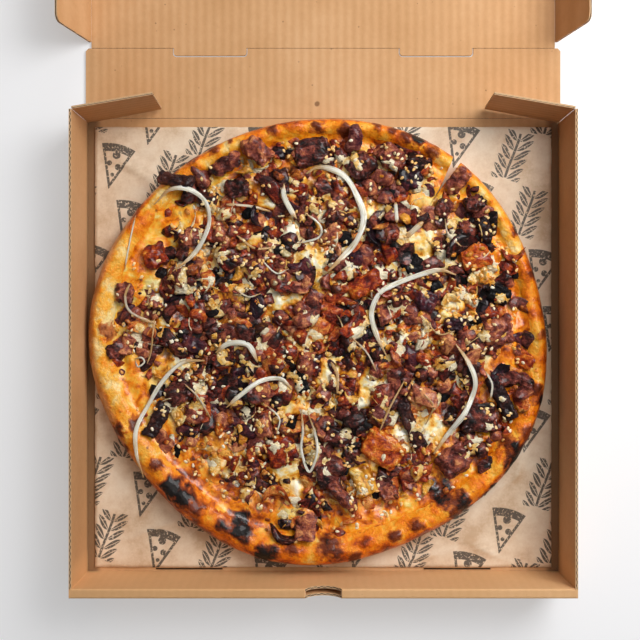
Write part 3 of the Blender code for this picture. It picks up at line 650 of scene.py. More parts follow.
def cooked_finish(name, gloss, fat, fat_share, coat, stops):
    """Chopped cooked food: a colour for each morsel from its tint, patchy and marbled, with wet glints."""
    f = Finish(name, Specular_IOR_Level=0.18, Coat_Weight=coat, Coat_Roughness=gloss * 0.25)
    broad = f.noise(170, 5, 0.6, distortion=0.5)
    fine = f.noise(560, 4, 0.7)
    grain = f.noise(240, 4, 0.65, vector=f.stretched((1.0, 2.6, 1.6)))
    value = f.attribute("tint") + (broad - 0.5) * 1.9 + (fine - 0.5) * 0.6
    colour = f.mix(f.band(grain, 0.56, 0.68) * fat_share, f.ramp(value, *stops), fat)
    normal = f.bump(grain + broad * 1.2 + fine * 0.6, 0.0018)
    return f.wear(Base_Color=colour, Roughness=fine * 0.45 + (gloss + 0.1), Normal=normal)


# Where the layers of the onion wedge curve round, and how far apart they are
WEDGE_CENTRE = (12.0 * MM, -92.0 * MM)
WEDGE_LAYER = 3.4 * MM


def wedge_finish():
    """A wedge of soft amber onion with its curved layers."""
    f = Finish("onion wedge", Specular_IOR_Level=0.4, Coat_Weight=0.6, Coat_Roughness=0.06,
               Subsurface_Weight=0.15, Subsurface_Radius=(0.004, 0.002, 0.001), Subsurface_Scale=0.5)
    x, y, _ = f.axes()
    away_x, away_y = x - WEDGE_CENTRE[0], y - WEDGE_CENTRE[1]
    away = f.math("SQRT", away_x * away_x + away_y * away_y)
    wobble = (f.noise(90, 2) - 0.5) * (3 * MM)
    layer = f.math("SINE", (away + wobble) * (math.tau / WEDGE_LAYER))
    broad = f.noise(110, 3)
    colour = f.ramp(layer * 0.05 + broad, (0.32, "#8A4806"), (0.44, "#C88018"),
                    (0.56, "#F0AE3C"), (0.68, "#FCD67C"), (0.80, "#FFEEC0"))
    colour = f.mix(f.band(layer, -0.86, -0.98) * 0.45, colour, "#A0661C")
    fibre = f.noise(420, 3)
    relief = layer * 0.12 + fibre * 0.3
    return f.wear(Base_Color=colour, Roughness=fibre * 0.3 + 0.12,
                  Normal=f.bump(relief, 0.0008, 0.9))


FOOTPRINTS = []


def in_slit(x, y, margin):
    """Whether a point of the plan is closer than a margin to the slit."""
    turn, radius = polar(x, y)
    return radius > SLIT_INNER_RADIUS - 8 * MM and abs(turn - column_turn(0, radius)) * radius < margin


def free_radius(turn):
    """How far the heap of toppings reaches in a direction."""
    crowded = 3.5 * MM * math.exp(-((math.degrees(turn) - 15) / 50) ** 2)
    bare_rim = (0.62 + 0.12 * math.sin(5 * turn + 1)) * rim_width(turn) + 1.5 * MM
    return outline_radius(turn) - bare_rim + crowded


def footprint_gap(x, y):
    """How far a point of the plan is outside the nearest large topping; negative inside it."""
    return min((math.hypot(x - cx, y - cy) - reach for cx, cy, reach in FOOTPRINTS), default=1.0)


def on_bed(draw, spacing, reach=1.0):
    """Uneven places on the bed, about a spacing apart."""
    rows = int(2 * PIZZA_RADIUS / (spacing * 0.87)) + 2
    for row in range(rows):
        for column in range(rows):
            x = PIZZA_X - PIZZA_RADIUS + (column + 0.5 * (row % 2) + draw.uniform(-0.42, 0.42)) * spacing
            y = PIZZA_Y - PIZZA_RADIUS + (row + draw.uniform(-0.42, 0.42)) * spacing * 0.87
            turn, radius = polar(x, y)
            if radius < reach * free_radius(turn) and not in_slit(x, y, 5 * MM):
                yield x, y


def set_down(draw, tree, x, y, size, sink):
    """The matrix that lays a piece of a height on a surface, turned at random and partly sunk."""
    place, normal = drop(tree, x, y)
    lean = Vector((0, 0, 1)).lerp(normal, 0.5).normalized()
    turn = lean.to_track_quat("Z", "Y").to_matrix().to_4x4()
    turn = turn @ Matrix.Rotation(draw.uniform(0, math.tau), 4, "Z")
    turn = turn @ Matrix.Rotation(draw.gauss(0, 0.35), 4, "X")
    return Matrix.Translation(place + lean * size * (0.5 - sink)) @ turn


# What the heap of small toppings is made of: kind, share, sizes in mm, how far each kind's sizes vary
HEAP_KINDS = (
    ("meat", 0.42, (12.0, 8.6, 4.6), 0.32, "roast_meat"),
    ("bacon", 0.30, (13.6, 7.2, 2.6), 0.32, "roast_meat"),
    ("pale", 0.012, (8.6, 5.4, 1.2), 0.30, "white_onion"),
    ("crumb", 0.04, (8.0, 6.2, 3.8), 0.28, "chopped_topping"),
    ("purple", 0.09, (12.0, 6.6, 2.0), 0.30, "red_onion"),
    ("char", 0.025, (8.6, 5.6, 2.6), 0.30, "charred_meat"),
    ("pepper", 0.06, (9.6, 6.4, 3.0), 0.28, "roast_pepper"),
    ("ochre", 0.055, (8.6, 5.6, 2.4), 0.25, "cooked_onion"),
)
TORN = {"meat": (7, 0.30, 0.30), "bacon": (4, 0.30, 0.60), "purple": (2, 0.24, 0.80), "char": (3, 0.36, 0.4),
        "ochre": (3, 0.28, 0.6), "pale": (3, 0.2, 0.6)}
SHAPES_PER_KIND = 26
# The heap's layers: how far apart their places are, and the share of the places that has a piece
HEAP_LAYERS = ((6.9 * MM, 0.92), (8.6 * MM, 0.58))


def heap_of_toppings(base, finishes):
    """Two layers of small cooked pieces over the cheese, as one mesh for each kind."""
    draw = random.Random(41)
    shapes = {}
    for kind, _, size, _, _ in HEAP_KINDS:
        cuts, rough, curl = TORN.get(kind, (5, 0.3, 0.25))
        shapes[kind] = [diced(draw, [s * MM for s in size], cuts=cuts, rough=rough, curl=curl)
                        for _ in range(SHAPES_PER_KIND)]
    places = {kind: [] for kind, *_ in HEAP_KINDS}
    tree = tree_of(base)
    for layer, (spacing, share) in enumerate(HEAP_LAYERS):
        for x, y in on_bed(draw, spacing, 0.99 - 0.04 * layer):
            shows = openness(x, y)
            margin = -1 * MM if layer else -3 * MM
            if draw.random() > share * (1 - 1.1 * shows) * thinned(x, y) or footprint_gap(x, y) < margin:
                continue
            patch = plan_noise(x, y, 0.019, 3.0 + layer)
            kind, size, vary = pick_kind(within(draw.random() + 0.35 * patch, 0.0, 0.999))
            scale = within(draw.lognormvariate(0, vary), 0.5, 1.6)
            sink = 0.22 if layer else 0.38 + 0.3 * flooded(x, y)
            matrix = set_down(draw, tree, x, y, size[2] * MM * scale, sink)
            tint = 0.47 + 0.2 * draw.gauss(0, 1) + 0.2 * plan_noise(x, y, 0.04, 8.8)
            tint = within(tint, 0.08, 0.80)
            matrix = matrix @ Matrix.Diagonal((scale, scale * draw.uniform(0.8, 1.2), scale, 1))
            places[kind].append((draw.randrange(SHAPES_PER_KIND), matrix, tint))
        if layer == 0:
            laid = [joined(shapes[kind], found)[:2] for kind, found in places.items() if found]
            tree = tree_of(base, laid)
    heap = []
    for kind, _, _, _, slot in HEAP_KINDS:
        points, faces, tints = joined(shapes[kind], places[kind])
        heap.append(piece("chopped_" + kind, points, faces, finishes[kind], (), slot, tint=tints))
    return heap


def pick_kind(roll):
    """The kind of small topping at a share of the way through the list."""
    total = sum(share for _, share, *_ in HEAP_KINDS)
    for kind, share, size, vary, _ in HEAP_KINDS:
        roll -= share / total
        if roll < 0:
            return kind, size, vary
    return kind, size, vary


# The fine bits by their finish: how many of ten, and their slot; then their size, spacing and share
BIT_KINDS = {"crumb": (3, "chopped_topping"), "ochre": (4, "cooked_onion"), "bacon": (3, "roast_meat")}
BIT_SIZE = (3.4 * MM, 2.4 * MM, 1.6 * MM)
BIT_SPACING = 5.4 * MM
BIT_SHARE = 0.17


def crumbs(tree, finishes):
    """Fine bits of cheese, onion and meat in the gaps, in three colours."""
    draw = random.Random(19)
    shapes = [diced(draw, BIT_SIZE, 2) for _ in range(14)]
    places = {kind: [] for kind in BIT_KINDS}
    for x, y in on_bed(draw, BIT_SPACING, 0.99):
        place, _ = drop(tree, x, y)
        if draw.random() > BIT_SHARE or place is None or place.z > CRUST_Z + BED_TOP + 4 * MM:
            continue
        kind = draw.choices(list(BIT_KINDS), [share for share, _ in BIT_KINDS.values()])[0]
        scale = draw.uniform(0.6, 1.6)
        matrix = set_down(draw, tree, x, y, 1.7 * MM * scale, 0.3) @ Matrix.Scale(scale, 4)
        places[kind].append((draw.randrange(len(shapes)), matrix, draw.uniform(0.25, 0.85)))
    made = []
    for kind, (_, slot) in BIT_KINDS.items():
        points, faces, tints = joined(shapes, places[kind])
        made.append(piece("bits_" + kind, points, faces, finishes[kind], (), slot, tint=tints))
    return made


# The scraps of melted cheese: how each is divided, how far apart their places are, how far each may
# hang below and stand above the height of its middle, and how deep its edge is sunk
PATCH_RINGS, PATCH_COLUMNS = 4, 16
PATCH_SPACING = 5.0 * MM
PATCH_HANG, PATCH_CLIMB = 2.2 * MM, 1.4 * MM
PATCH_SUNK = 0.9 * MM


def draped_patch(draw, tree, x, y, half_length, half_width):
    """A scrap of melted cheese that follows what it lies on, its edge sunk in: points and triangles."""
    turn, bend, seed = draw.uniform(0, math.tau), draw.gauss(0, 0.35), draw.uniform(0, 50)
    plan = [(0.0, 0.0)]
    for ring in range(1, PATCH_RINGS + 1):
        for column in range(PATCH_COLUMNS):
            angle = column / PATCH_COLUMNS * math.tau
            wobble = 1 + 0.6 * noise.noise(Vector((1.6 * math.cos(angle), 1.6 * math.sin(angle), seed)))
            reach = ring / PATCH_RINGS * wobble
            along, across = reach * half_length * math.cos(angle), reach * half_width * math.sin(angle)
            across += bend * along * along / half_length
            plan.append((along, across))
    points = []
    for along, across in plan:
        px = x + along * math.cos(turn) - across * math.sin(turn)
        py = y + along * math.sin(turn) + across * math.cos(turn)
        place, _ = drop(tree, px, py)
        if place is None:
            return None
        points.append(place[:])
    points = np.array(points)
    levels = points[1:, 2].reshape(PATCH_RINGS, PATCH_COLUMNS)
    middle = levels[0].mean()
    levels = np.clip(levels, middle - PATCH_HANG, middle + PATCH_CLIMB)
    for _ in range(3):
        inner = np.vstack((np.full(PATCH_COLUMNS, levels[0].mean()), levels[:-1]))
        levels = 0.3 * levels + 0.25 * (np.roll(levels, 1, 1) + np.roll(levels, -1, 1)) + 0.2 * inner
    share = (np.arange(1, PATCH_RINGS + 1) / PATCH_RINGS)[:, None]
    points[0, 2] = middle + 0.5 * MM
    points[1:, 2] = (levels + 0.5 * MM - PATCH_SUNK * share ** 2).reshape(-1)
    points = np.vstack((points, (points[0, 0], points[0, 1], points[:, 2].min() - 0.6 * MM)))
    foot, last = len(points) - 1, 1 + (PATCH_RINGS - 1) * PATCH_COLUMNS
    faces = []
    for column in range(PATCH_COLUMNS):
        after = (column + 1) % PATCH_COLUMNS
        faces += [(0, 1 + column, 1 + after), (foot, last + after, last + column)]
        for ring in range(PATCH_RINGS - 1):
            a, b = 1 + ring * PATCH_COLUMNS, 1 + (ring + 1) * PATCH_COLUMNS
            faces += [(a + column, b + column, b + after), (a + column, b + after, a + after)]
    return points, np.array(faces)


def draped_cheese(tree, material):
    """Scraps and short strings of melted cheese, lying over the toppings in drifts."""
    draw = random.Random(29)
    points, faces, tints, start = [], [], [], 0
    for x, y in on_bed(draw, PATCH_SPACING, 0.90):
        drift = plan_noise(x, y, 0.014, 41)
        if draw.random() > 0.10 + 1.1 * drift:
            continue
        if draw.random() < 0.14:
            half_length, half_width = draw.uniform(4, 8) * MM, draw.uniform(0.4, 0.7) * MM
        else:
            half_length = draw.uniform(2.0, 6.5) * MM
            half_width = half_length * draw.uniform(0.45, 0.85)
        patch = draped_patch(draw, tree, x, y, half_length, half_width)
        if patch:
            points.append(patch[0])
            faces.append(patch[1] + start)
            tints.append(np.full(len(patch[0]), draw.uniform(0.2, 0.95)))
            start += len(patch[0])
    return piece("draped_cheese", np.concatenate(points), np.concatenate(faces), material, (),
                 "chopped_topping", tint=np.concatenate(tints))


def note_footprints():
    """Keeps where the large toppings lie, so that small ones leave room for them."""
    stems = tuple(stem for stem, *_ in LARGE_KINDS)
    for name in [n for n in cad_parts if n.startswith(stems)]:
        low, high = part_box(name)
        centre = (low + high) / 2
        FOOTPRINTS.append((centre.x, centre.y, 0.42 * (high - low).to_2d().length))


def soften(shape, factor):
    bmesh.ops.smooth_vert(shape, verts=shape.verts, factor=factor, use_axis_x=True, use_axis_y=True,
                          use_axis_z=True)


def large_topping(name, material, slot, rough, fold):
    """A large topping: its plain solid, rounded, split finely and given a cooked and folded skin."""
    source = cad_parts[name].data
    shape = bmesh.new()
    shape.from_mesh(source)
    bmesh.ops.remove_doubles(shape, verts=shape.verts, dist=0.01 * MM)
    bmesh.ops.subdivide_edges(shape, edges=shape.edges, cuts=1, use_grid_fill=True)
    for _ in range(2):
        soften(shape, 0.3)
        bmesh.ops.subdivide_edges(shape, edges=shape.edges, cuts=1, use_grid_fill=True)
    bmesh.ops.triangulate(shape, faces=shape.faces)
    for _ in range(2):
        soften(shape, 0.5)
    shape.normal_update()
    points = np.array([v.co for v in shape.verts])
    normals = np.array([v.normal for v in shape.verts])
    faces = np.array([[v.index for v in f.verts] for f in shape.faces])
    shape.free()
    seed = len(name) + 3.7 * int(name[-2:])
    folds = 2.2 * np.abs(lumps(points / MM, 5.5, seed + 8)) - 0.3
    swell = fold * (0.8 * lumps(points / MM, 6.5, seed) + folds) + rough * lumps(points / MM, 1.8, seed + 5)
    points += normals * (swell * MM)[:, None]
    tint = 0.5 + 0.18 * math.sin(12.9 * seed)
    return piece(name + "_cooked", points, faces, material, (name,), slot,
                 tint=np.full(len(points), tint) + 0.12 * lumps(points / MM, 6.0, seed + 2))


LARGE_KINDS = (
    ("meat_chunk", "meat", "roast_meat", 1.1, 1.5),
    ("charred_chunk", "char", "charred_meat", 1.1, 0.9),
    ("meat_strip", "strip", "charred_meat", 0.7, 0.9),
    ("red_onion", "purple", "red_onion", 0.5, 1.2),
    ("roast_pepper", "pepper", "roast_pepper", 0.6, 1.3),
    ("onion_wedge", "wedge", "cooked_onion", 0.4, 0.7),
)


def large_toppings(finishes):
    """Every large topping, by its kind's finish."""
    made = []
    for stem, kind, slot, rough, fold in LARGE_KINDS:
        for name in sorted(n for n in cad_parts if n.startswith(stem)):
            made.append(large_topping(name, finishes[kind], slot, rough, fold))
    return made


SEED_COUNT = 900
SEED_HALF_SIZES = (1.5, 0.92, 0.5)


def seed_shape(draw):
    """A sesame seed: a flat drop, 3 mm long."""
    points, faces = ico_sphere(2)
    points = points * np.array(SEED_HALF_SIZES)
    points[:, 1] *= 1 - 0.28 * points[:, 0] / SEED_HALF_SIZES[0]
    points *= draw.uniform(0.92, 1.08)
    return points * MM, faces


def sesame_seeds(tree, material):
    """Sesame seeds strewn in drifts over the toppings."""
    draw = random.Random(7)
    shapes = [seed_shape(draw) for _ in range(8)]
    places = []
    while len(places) < SEED_COUNT:
        turn = draw.uniform(0, math.tau)
        radius = math.sqrt(draw.random()) * 0.99 * free_radius(turn)
        x, y = PIZZA_X + radius * math.cos(turn), PIZZA_Y + radius * math.sin(turn)
        drift = plan_noise(x, y, 0.016, 12.0) + 0.6 * plan_noise(x, y, 0.05, 2)
        if draw.random() > 0.25 + 1.5 * drift or in_slit(x, y, 3 * MM):
            continue
        place, normal = drop(tree, x, y)
        if place is None or normal.z < 0.35:
            continue
        lie = normal.to_track_quat("Z", "Y").to_matrix().to_4x4()
        matrix = Matrix.Translation(place + normal * 0.35 * MM) @ lie
        matrix = matrix @ Matrix.Rotation(draw.uniform(0, math.tau), 4, "Z")
        matrix = matrix @ Matrix.Rotation(draw.gauss(0, 0.2), 4, "Y")
        places.append((draw.randrange(len(shapes)), matrix, draw.random()))
    points, faces, tints = joined(shapes, places)
    return piece("sesame_seeds", points, faces, material, (), "chopped_topping", tint=tints)


# Onion ribbons by their node: the route in mm, the width in the middle and at each end
CURLS = (
    (((-108, 93), (-98, 102), (-85, 102), (-75, 94), (-73, 81), (-78, 68), (-86, 58), (-96, 50)),
     3.0, 0.5, 0.7),
    (((-11, 113), (-4, 117), (5, 116), (15, 110), (22, 98), (26, 85), (22, 71), (13, 60), (3, 50)),
     4.0, 0.9, 1.1),
    (((-17, 84), (-21, 90), (-25, 98), (-25, 106)), 3.2, 0.7, 0.6),
    (((85, 48), (75, 51), (62, 48), (46, 42), (36, 36), (31, 24), (34, 10), (41, -5)), 3.4, 0.9, 0.7),
    (((84, 4), (93, -9), (97, -23), (91, -39), (81, -53), (71, -67)), 3.4, 0.6, 1.0),
    (((-69, -2), (-60, 4), (-48, 3), (-42, -8)), 3.6, 0.8, 0.6),
    (((-76, -7), (-90, -8), (-102, -19), (-112, -35), (-119, -50), (-119, -66), (-115, -82)), 2.8, 0.8, 0.5),
    (((-62, -37), (-53, -29), (-40, -20), (-27, -19), (-20, -26)), 2.8, 0.5, 0.8),
    (((-14, -38), (-13, -52), (-14, -64), (-9, -78), (-4, -66), (-5, -54), (-10, -40)), 1.7, 0.7, 0.6),
)
SHREDS = (
    (((-120, 86), (-124, 67), (-127, 51)), 1.0), (((-62, 93), (-47, 92), (-34, 89)), 1.8),
    (((-55, 73), (-44, 65), (-33, 65)), 1.6), (((-12, 88), (-2, 80), (-3, 72), (-18, 68)), 1.3),
    (((-123, 42), (-126, 34), (-123, 24), (-107, 16)), 1.8), (((5, -8), (9, -16), (9, -28)), 2.0),
    (((46, 94), (47, 81)), 2.4), (((53, 72), (64, 82)), 3.2), (((-108, 19), (-110, 1), (-113, -9)), 1.2),
    (((-121, -6), (-117, -5), (-115, -8), (-119, -11), (-121, -7)), 1.2),
    (((-88, -22), (-80, -30), (-72, -44)), 1.1), (((52, -20), (42, -38), (36, -52)), 1.2),
    (((-40, 58), (-30, 49), (-22, 52)), 1.0), (((18, 8), (28, -2), (34, -14)), 1.1),
    (((64, -28), (70, -36), (66, -48)), 1.2), (((104, -14), (108, -22), (107, -32)), 1.4),
    (((-58, 40), (-48, 34), (-40, 36)), 1.1), (((66, 18), (74, 10), (84, 12)), 1.0),
    (((-36, -36), (-28, -44), (-30, -54)), 1.1), (((88, 66), (80, 74), (78, 84)), 1.0),
)


def smooth_path(route, step):
    """Points a step apart on a smooth curve through a route's own points."""
    knots = [Vector(p) * MM for p in route]
    run = []
    for k in range(len(knots) - 1):
        count = max(2, round((knots[k + 1] - knots[k]).length / step))
        run += [on_curve(knots, k + i / count) for i in range(count)]
    return [*run, knots[-1]]


# Where the surface is felt round each point of a ribbon's route, in mm
ROUND_ABOUT = ((0, 0), (1, 0), (-1, 0), (0, 1), (0, -1))
RIBBON_SIDES = 12


def levelled(levels, reach):
    """Heights along a route, evened out between their mean and their greatest within a reach."""
    even = []
    for i in range(len(levels)):
        near = levels[max(0, i - reach):i + reach + 1]
        even.append(near.max() * 0.35 + near.mean() * 0.65)
    return np.array(even)


def ribbon(route, widths, tree, seed, clear):
    """A thin strip of onion laid over the toppings: points, faces, how far along and how brown."""
    run = smooth_path(route, 0.8 * MM)
    levels = []
    for spot in run:
        found = [drop(tree, spot.x + dx * MM, spot.y + dy * MM)[0] for dx, dy in ROUND_ABOUT]
        levels.append(max((p.z for p in found if p), default=BED_TOP + CRUST_Z))
    levels = levelled(levelled(np.array(levels), 5), 7)
    count = len(levels)
    middle, first, last = widths
    points, along, brown, beside = [], [], [], []
    length = 0.0
    for i, spot in enumerate(run):
        ahead, behind = run[min(i + 1, count - 1)], run[max(i - 1, 0)]
        side = Vector((ahead.y - behind.y, behind.x - ahead.x, 0)).normalized()
        share = i / (count - 1)
        taper = min(1.0, first / middle + 5 * share, last / middle + 4 * (1 - share))
        wave = 1 + 0.18 * noise.noise(Vector((length / 0.012, seed, 0.5)))
        width = middle * MM * taper * wave
        roll = 0.75 * noise.noise(Vector((length / 0.03, seed, 4.2)))
        across = side * math.cos(roll) + Vector((0, 0, math.sin(roll)))
        upward = side * -math.sin(roll) + Vector((0, 0, math.cos(roll)))
        centre = Vector((spot.x, spot.y, levels[i] + clear + 0.15 * width))
        for j in range(RIBBON_SIDES):
            angle = j / RIBBON_SIDES * math.tau
            out = math.copysign(abs(math.cos(angle)) ** 0.8, math.cos(angle))
            bow = 0.10 * width * (1 - out * out)
            points.append(centre + across * (0.5 * width * out)
                          + upward * (0.18 * MM * math.sin(angle) + bow))
            along.append(length)
            beside.append(out)
            brown.append(abs(2 * share - 1) ** 3 + 0.2 * noise.noise(Vector((length / 0.01, seed, 9))))
        length += (ahead - spot).length
    faces = grid_faces(count, RIBBON_SIDES, True)
    return np.array(points), faces, {"along": along, "brown": brown, "beside": beside}


def onion_ribbons(tree, material):
    """The long ribbons, one for each node, and the fine shreds as one piece."""
    for index, (route, middle, first, last) in enumerate(CURLS, 1):
        points, faces, values = ribbon(route, (middle, first, last), tree, index, 0.5 * MM)
        node = f"onion_curl_{index:02d}"
        piece(node + "_ribbon", points, faces, material, (node,), "white_onion", **values)
    all_points, all_faces, all_values = [], [], {"along": [], "brown": [], "beside": []}
    for index, (route, middle) in enumerate(SHREDS):
        widths = (middle, 0.4 * middle, 0.4 * middle)
        points, faces, values = ribbon(route, widths, tree, 30 + index, 0.2 * MM)
        values["brown"] = [b + 0.3 * (index % 3) for b in values["brown"]]
        start = len(all_points)
        all_points += points.tolist()
        all_faces += [[start + i for i in face] for face in faces]
        for key, found in values.items():
            all_values[key] += found
    piece("onion_shreds", all_points, all_faces, material, (), "white_onion", **all_values)


def onion_finish():
    """Translucent raw and half-cooked onion, streaked along its length."""
    f = Finish("white onion", Specular_IOR_Level=0.5, Coat_Weight=0.5, Coat_Roughness=0.06, Roughness=0.25,
               Subsurface_Weight=0.2, Subsurface_Radius=(0.004, 0.004, 0.003), Subsurface_Scale=0.4,
               Alpha=0.9)
    fine = f.noise(300, 3)
    lengthwise = f.value("CombineXYZ", {0: f.attribute("along") * 60.0, 1: f.attribute("beside") * 2.6})
    streak = f.noise(1.0, 3, 0.6, vector=lengthwise)
    colour = f.ramp(streak, (0.32, "#C8B47C"), (0.43, "#EEE6C6"), (0.58, "#FEFDF0"))
    brown = f.band(f.attribute("brown") + fine * 0.35, 0.28, 0.8)
    colour = f.mix(brown * 0.85, colour, "#D09644")
    return f.wear(Base_Color=colour, Normal=f.bump(streak + fine * 0.3, 0.0008, 0.8))


def seed_finish():
    """Sesame seeds, from toasted gold to cream."""
    f = Finish("sesame", Specular_IOR_Level=0.5, Roughness=0.38, Subsurface_Weight=0.15,
               Subsurface_Radius=(0.002, 0.0015, 0.001), Subsurface_Scale=0.4)
    value = f.noise(500, 2) * 0.4 + f.attribute("tint") * 0.8
    colour = f.ramp(value, (0.15, "#D8903C"), (0.4, "#F6C070"), (0.7, "#FFDEA0"), (1.0, "#FFF6DC"))
    return f.wear(Base_Color=colour, Normal=f.bump(f.noise(1500, 2), 0.0002, 0.4))


# Paper and board

# The print on the paper: how it's turned, the steps between its marks, and the marks' sizes in metres
PRINT_TURN = math.radians(14)
MARK_STEP_X, MARK_STEP_Y = 36 * MM, 34 * MM
LINE_HALF_WIDTH = 0.85 * MM
STEM_HALF_LENGTH = 15.1 * MM
LEAF_STEP = 6.4 * MM
LEAF_OUT, LEAF_HALF_LENGTH, LEAF_HALF_WIDTH = 5.4 * MM, 4.8 * MM, 2.6 * MM
SLICE_RIM_CENTRE, SLICE_RIM_RADIUS, SLICE_CRUST = -22 * MM, 34 * MM, 4.5 * MM
SLICE_ROUNDS = ((0.0, 5.5, 2.6), (-3.4, -0.5, 1.7), (2.6, -1.8, 2.0), (0.2, -7.5, 1.3))


def below(f, value, limit, blur=0.1 * MM):
    """1 where a value is under a limit, with a soft edge."""
    return f.band(value, limit + blur, limit - blur)


def sprig_mark(f, p, q):
    """Ink of a sprig along q: a curved stem and pairs of pointed leaves, each with its vein."""
    stem_x = p - f.math("SINE", q * 90.0) * (1.6 * MM)
    stem = below(f, abs(stem_x), LINE_HALF_WIDTH) * below(f, abs(q), STEM_HALF_LENGTH)
    beside = abs(stem_x)
    up = f.math("WRAP", q - beside * 0.9, LEAF_STEP, 0.0) - LEAF_STEP / 2
    reach = 1.0 - abs((beside - LEAF_OUT) / LEAF_HALF_LENGTH) ** 2.0
    leaf = f.band(reach * LEAF_HALF_WIDTH - abs(up), 0.0, 0.15 * MM)
    vein = f.band(abs(up), 0.15 * MM, 0.4 * MM)
    return f.greatest(stem, leaf * vein * below(f, abs(q), STEM_HALF_LENGTH + 1.3 * MM))


def slice_mark(f, p, q):
    """Ink of a slice with its tip down: a triangle with a thick crust and rounds on it."""
    side = abs(p) * 0.93 - q * 0.37 - 5.6 * MM
    rim = f.math("SQRT", p * p + (q - SLICE_RIM_CENTRE) ** 2.0) - SLICE_RIM_RADIUS
    body = f.greatest(side, rim)
    crust = below(f, body, 0.0) * f.band(rim, -SLICE_CRUST - 0.1 * MM, -SLICE_CRUST + 0.1 * MM)
    rounds = []
    for x, y, radius in SLICE_ROUNDS:
        away = f.math("SQRT", (p - x * MM) ** 2.0 + (q - y * MM) ** 2.0)
        rounds.append(below(f, away, radius * MM))
    return f.greatest(below(f, abs(body), LINE_HALF_WIDTH), crust, *rounds)


def paper_finish():
    """Greaseproof paper: tan, mottled, with sprigs and slices stamped in rows in dark grey."""
    f = Finish("greaseproof paper", Specular_IOR_Level=0.35, Sheen_Weight=0.05)
    x, y, _ = f.axes(f.value("Mapping", {"Vector": f.object_space, "Rotation": (0, 0, PRINT_TURN)}))
    row = f.math("FLOOR", y / MARK_STEP_Y)
    across = x / MARK_STEP_X + abs(row) % 2.0 * 0.5
    column = f.math("FLOOR", across)
    p = (across - column - 0.5) * MARK_STEP_X
    q = (y / MARK_STEP_Y - row - 0.5) * MARK_STEP_Y
    ink = f.mix(abs(row + column) % 2.0 > 0.5, sprig_mark(f, p, q), slice_mark(f, p, q))
    ink = ink * f.band(f.noise(700, 4, 0.7), 0.36, 0.46) * 0.9
    mottle = f.noise(38, 4, 0.6)
    fine = f.noise(900, 3)
    paper = f.ramp(fine * 0.18 + mottle, (0.42, "#CCAC8A"), (0.58, "#E2C9AC"), (0.74, "#EEDBC2"))
    return f.wear(Base_Color=f.mix(ink, paper, "#3E3833"), Roughness=mottle * 0.25 + 0.42,
                  Normal=f.bump(fine, 0.00008, 0.5))


# Where the paper is creased: the middle in mm, the direction in degrees and half the length in mm
PAPER_CREASES = ((119, -88, 34, 14), (128, -78, 70, 10), (-120, -70, 80, 16), (-112, -118, 20, 18),
                 (106, -132, -25, 16), (132, 60, 85, 20), (-125, 118, -30, 14), (64, -136, 10, 14))


def paper_rise(x, y):
    """How far the paper stands off the floor of the tray, nothing under the pizza."""
    turn, radius = polar(x, y)
    free = within((radius - outline_radius(turn) + 6 * MM) / (16 * MM), 0, 1)
    rise = 0.7 + 0.7 * plan_noise(x, y, 0.028, 2.2)
    for cx, cy, turn_deg, half in PAPER_CREASES:
        angle = math.radians(turn_deg)
        dx, dy = x / MM - cx, y / MM - cy
        along = dx * math.cos(angle) + dy * math.sin(angle)
        across = dy * math.cos(angle) - dx * math.sin(angle)
        rise += 2.8 * math.exp(-(across / 1.4) ** 2 - (along / half) ** 2)
        rise += 1.1 * math.exp(-((across - 5) / 2.2) ** 2 - (along / half) ** 2)
    return free * rise * MM


def paper_liner(material):
    """The paper: one thin sheet, wavy and creased where nothing weighs it down."""
    low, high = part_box("paper_liner")
    count = PAPER_POINTS
    xs, ys = np.linspace(low.x, high.x, count), np.linspace(low.y, high.y, count)
    points = []
    for y in ys:
        for x in xs:
            ragged = 0.25 * MM * plan_noise(x, y, 0.004, 1)
            edge_x = ragged if x in (xs[0], xs[-1]) else 0
            edge_y = ragged if y in (ys[0], ys[-1]) else 0
            points.append((x + edge_x, y + edge_y, low.z + 0.12 * MM + paper_rise(x, y)))
    faces = grid_faces(count, count)
    liner = piece("printed_liner", points, faces, material, ("paper_liner",), "greaseproof_paper")
    solid = liner.modifiers.new("thickness", "SOLIDIFY")
    solid.thickness = 0.1 * MM
    solid.offset = -1
    return liner


BOARD_MIDDLE = 0.8 * MM


def board_plane(node):
    """The direction across a flat board and the place of its middle along it, from its largest faces."""
    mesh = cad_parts[node].data
    largest = max(mesh.polygons, key=lambda face: face.area)
    return tuple(largest.normal), largest.center.dot(largest.normal) - BOARD_MIDDLE


# The board's flutes, as they show on its face and on its cut edges, and the depth of its layers
FLUTE_PITCH = 5.75 * MM
FLUTE_CUT_PITCH = 3.9 * MM
LINER_DEPTH = 0.49 * MM
# The tray's features that its finish follows
VENT_HALF_WIDTH = 12.4 * MM
WALL_CUT_TOP = 46.3 * MM
STAIN_PLACE = (-4.0 * MM, 161.0 * MM, 1.6 * MM)


def flat_cut(f, plane):
    """Where a flat board is cut, and how far each point is from the board's middle layer."""
    normal, middle = plane
    facing = f.dot(f.value("TexCoord", output="Normal"), normal)
    return f.band(abs(facing), 0.6, 0.4), f.dot(f.object_space, normal) - middle


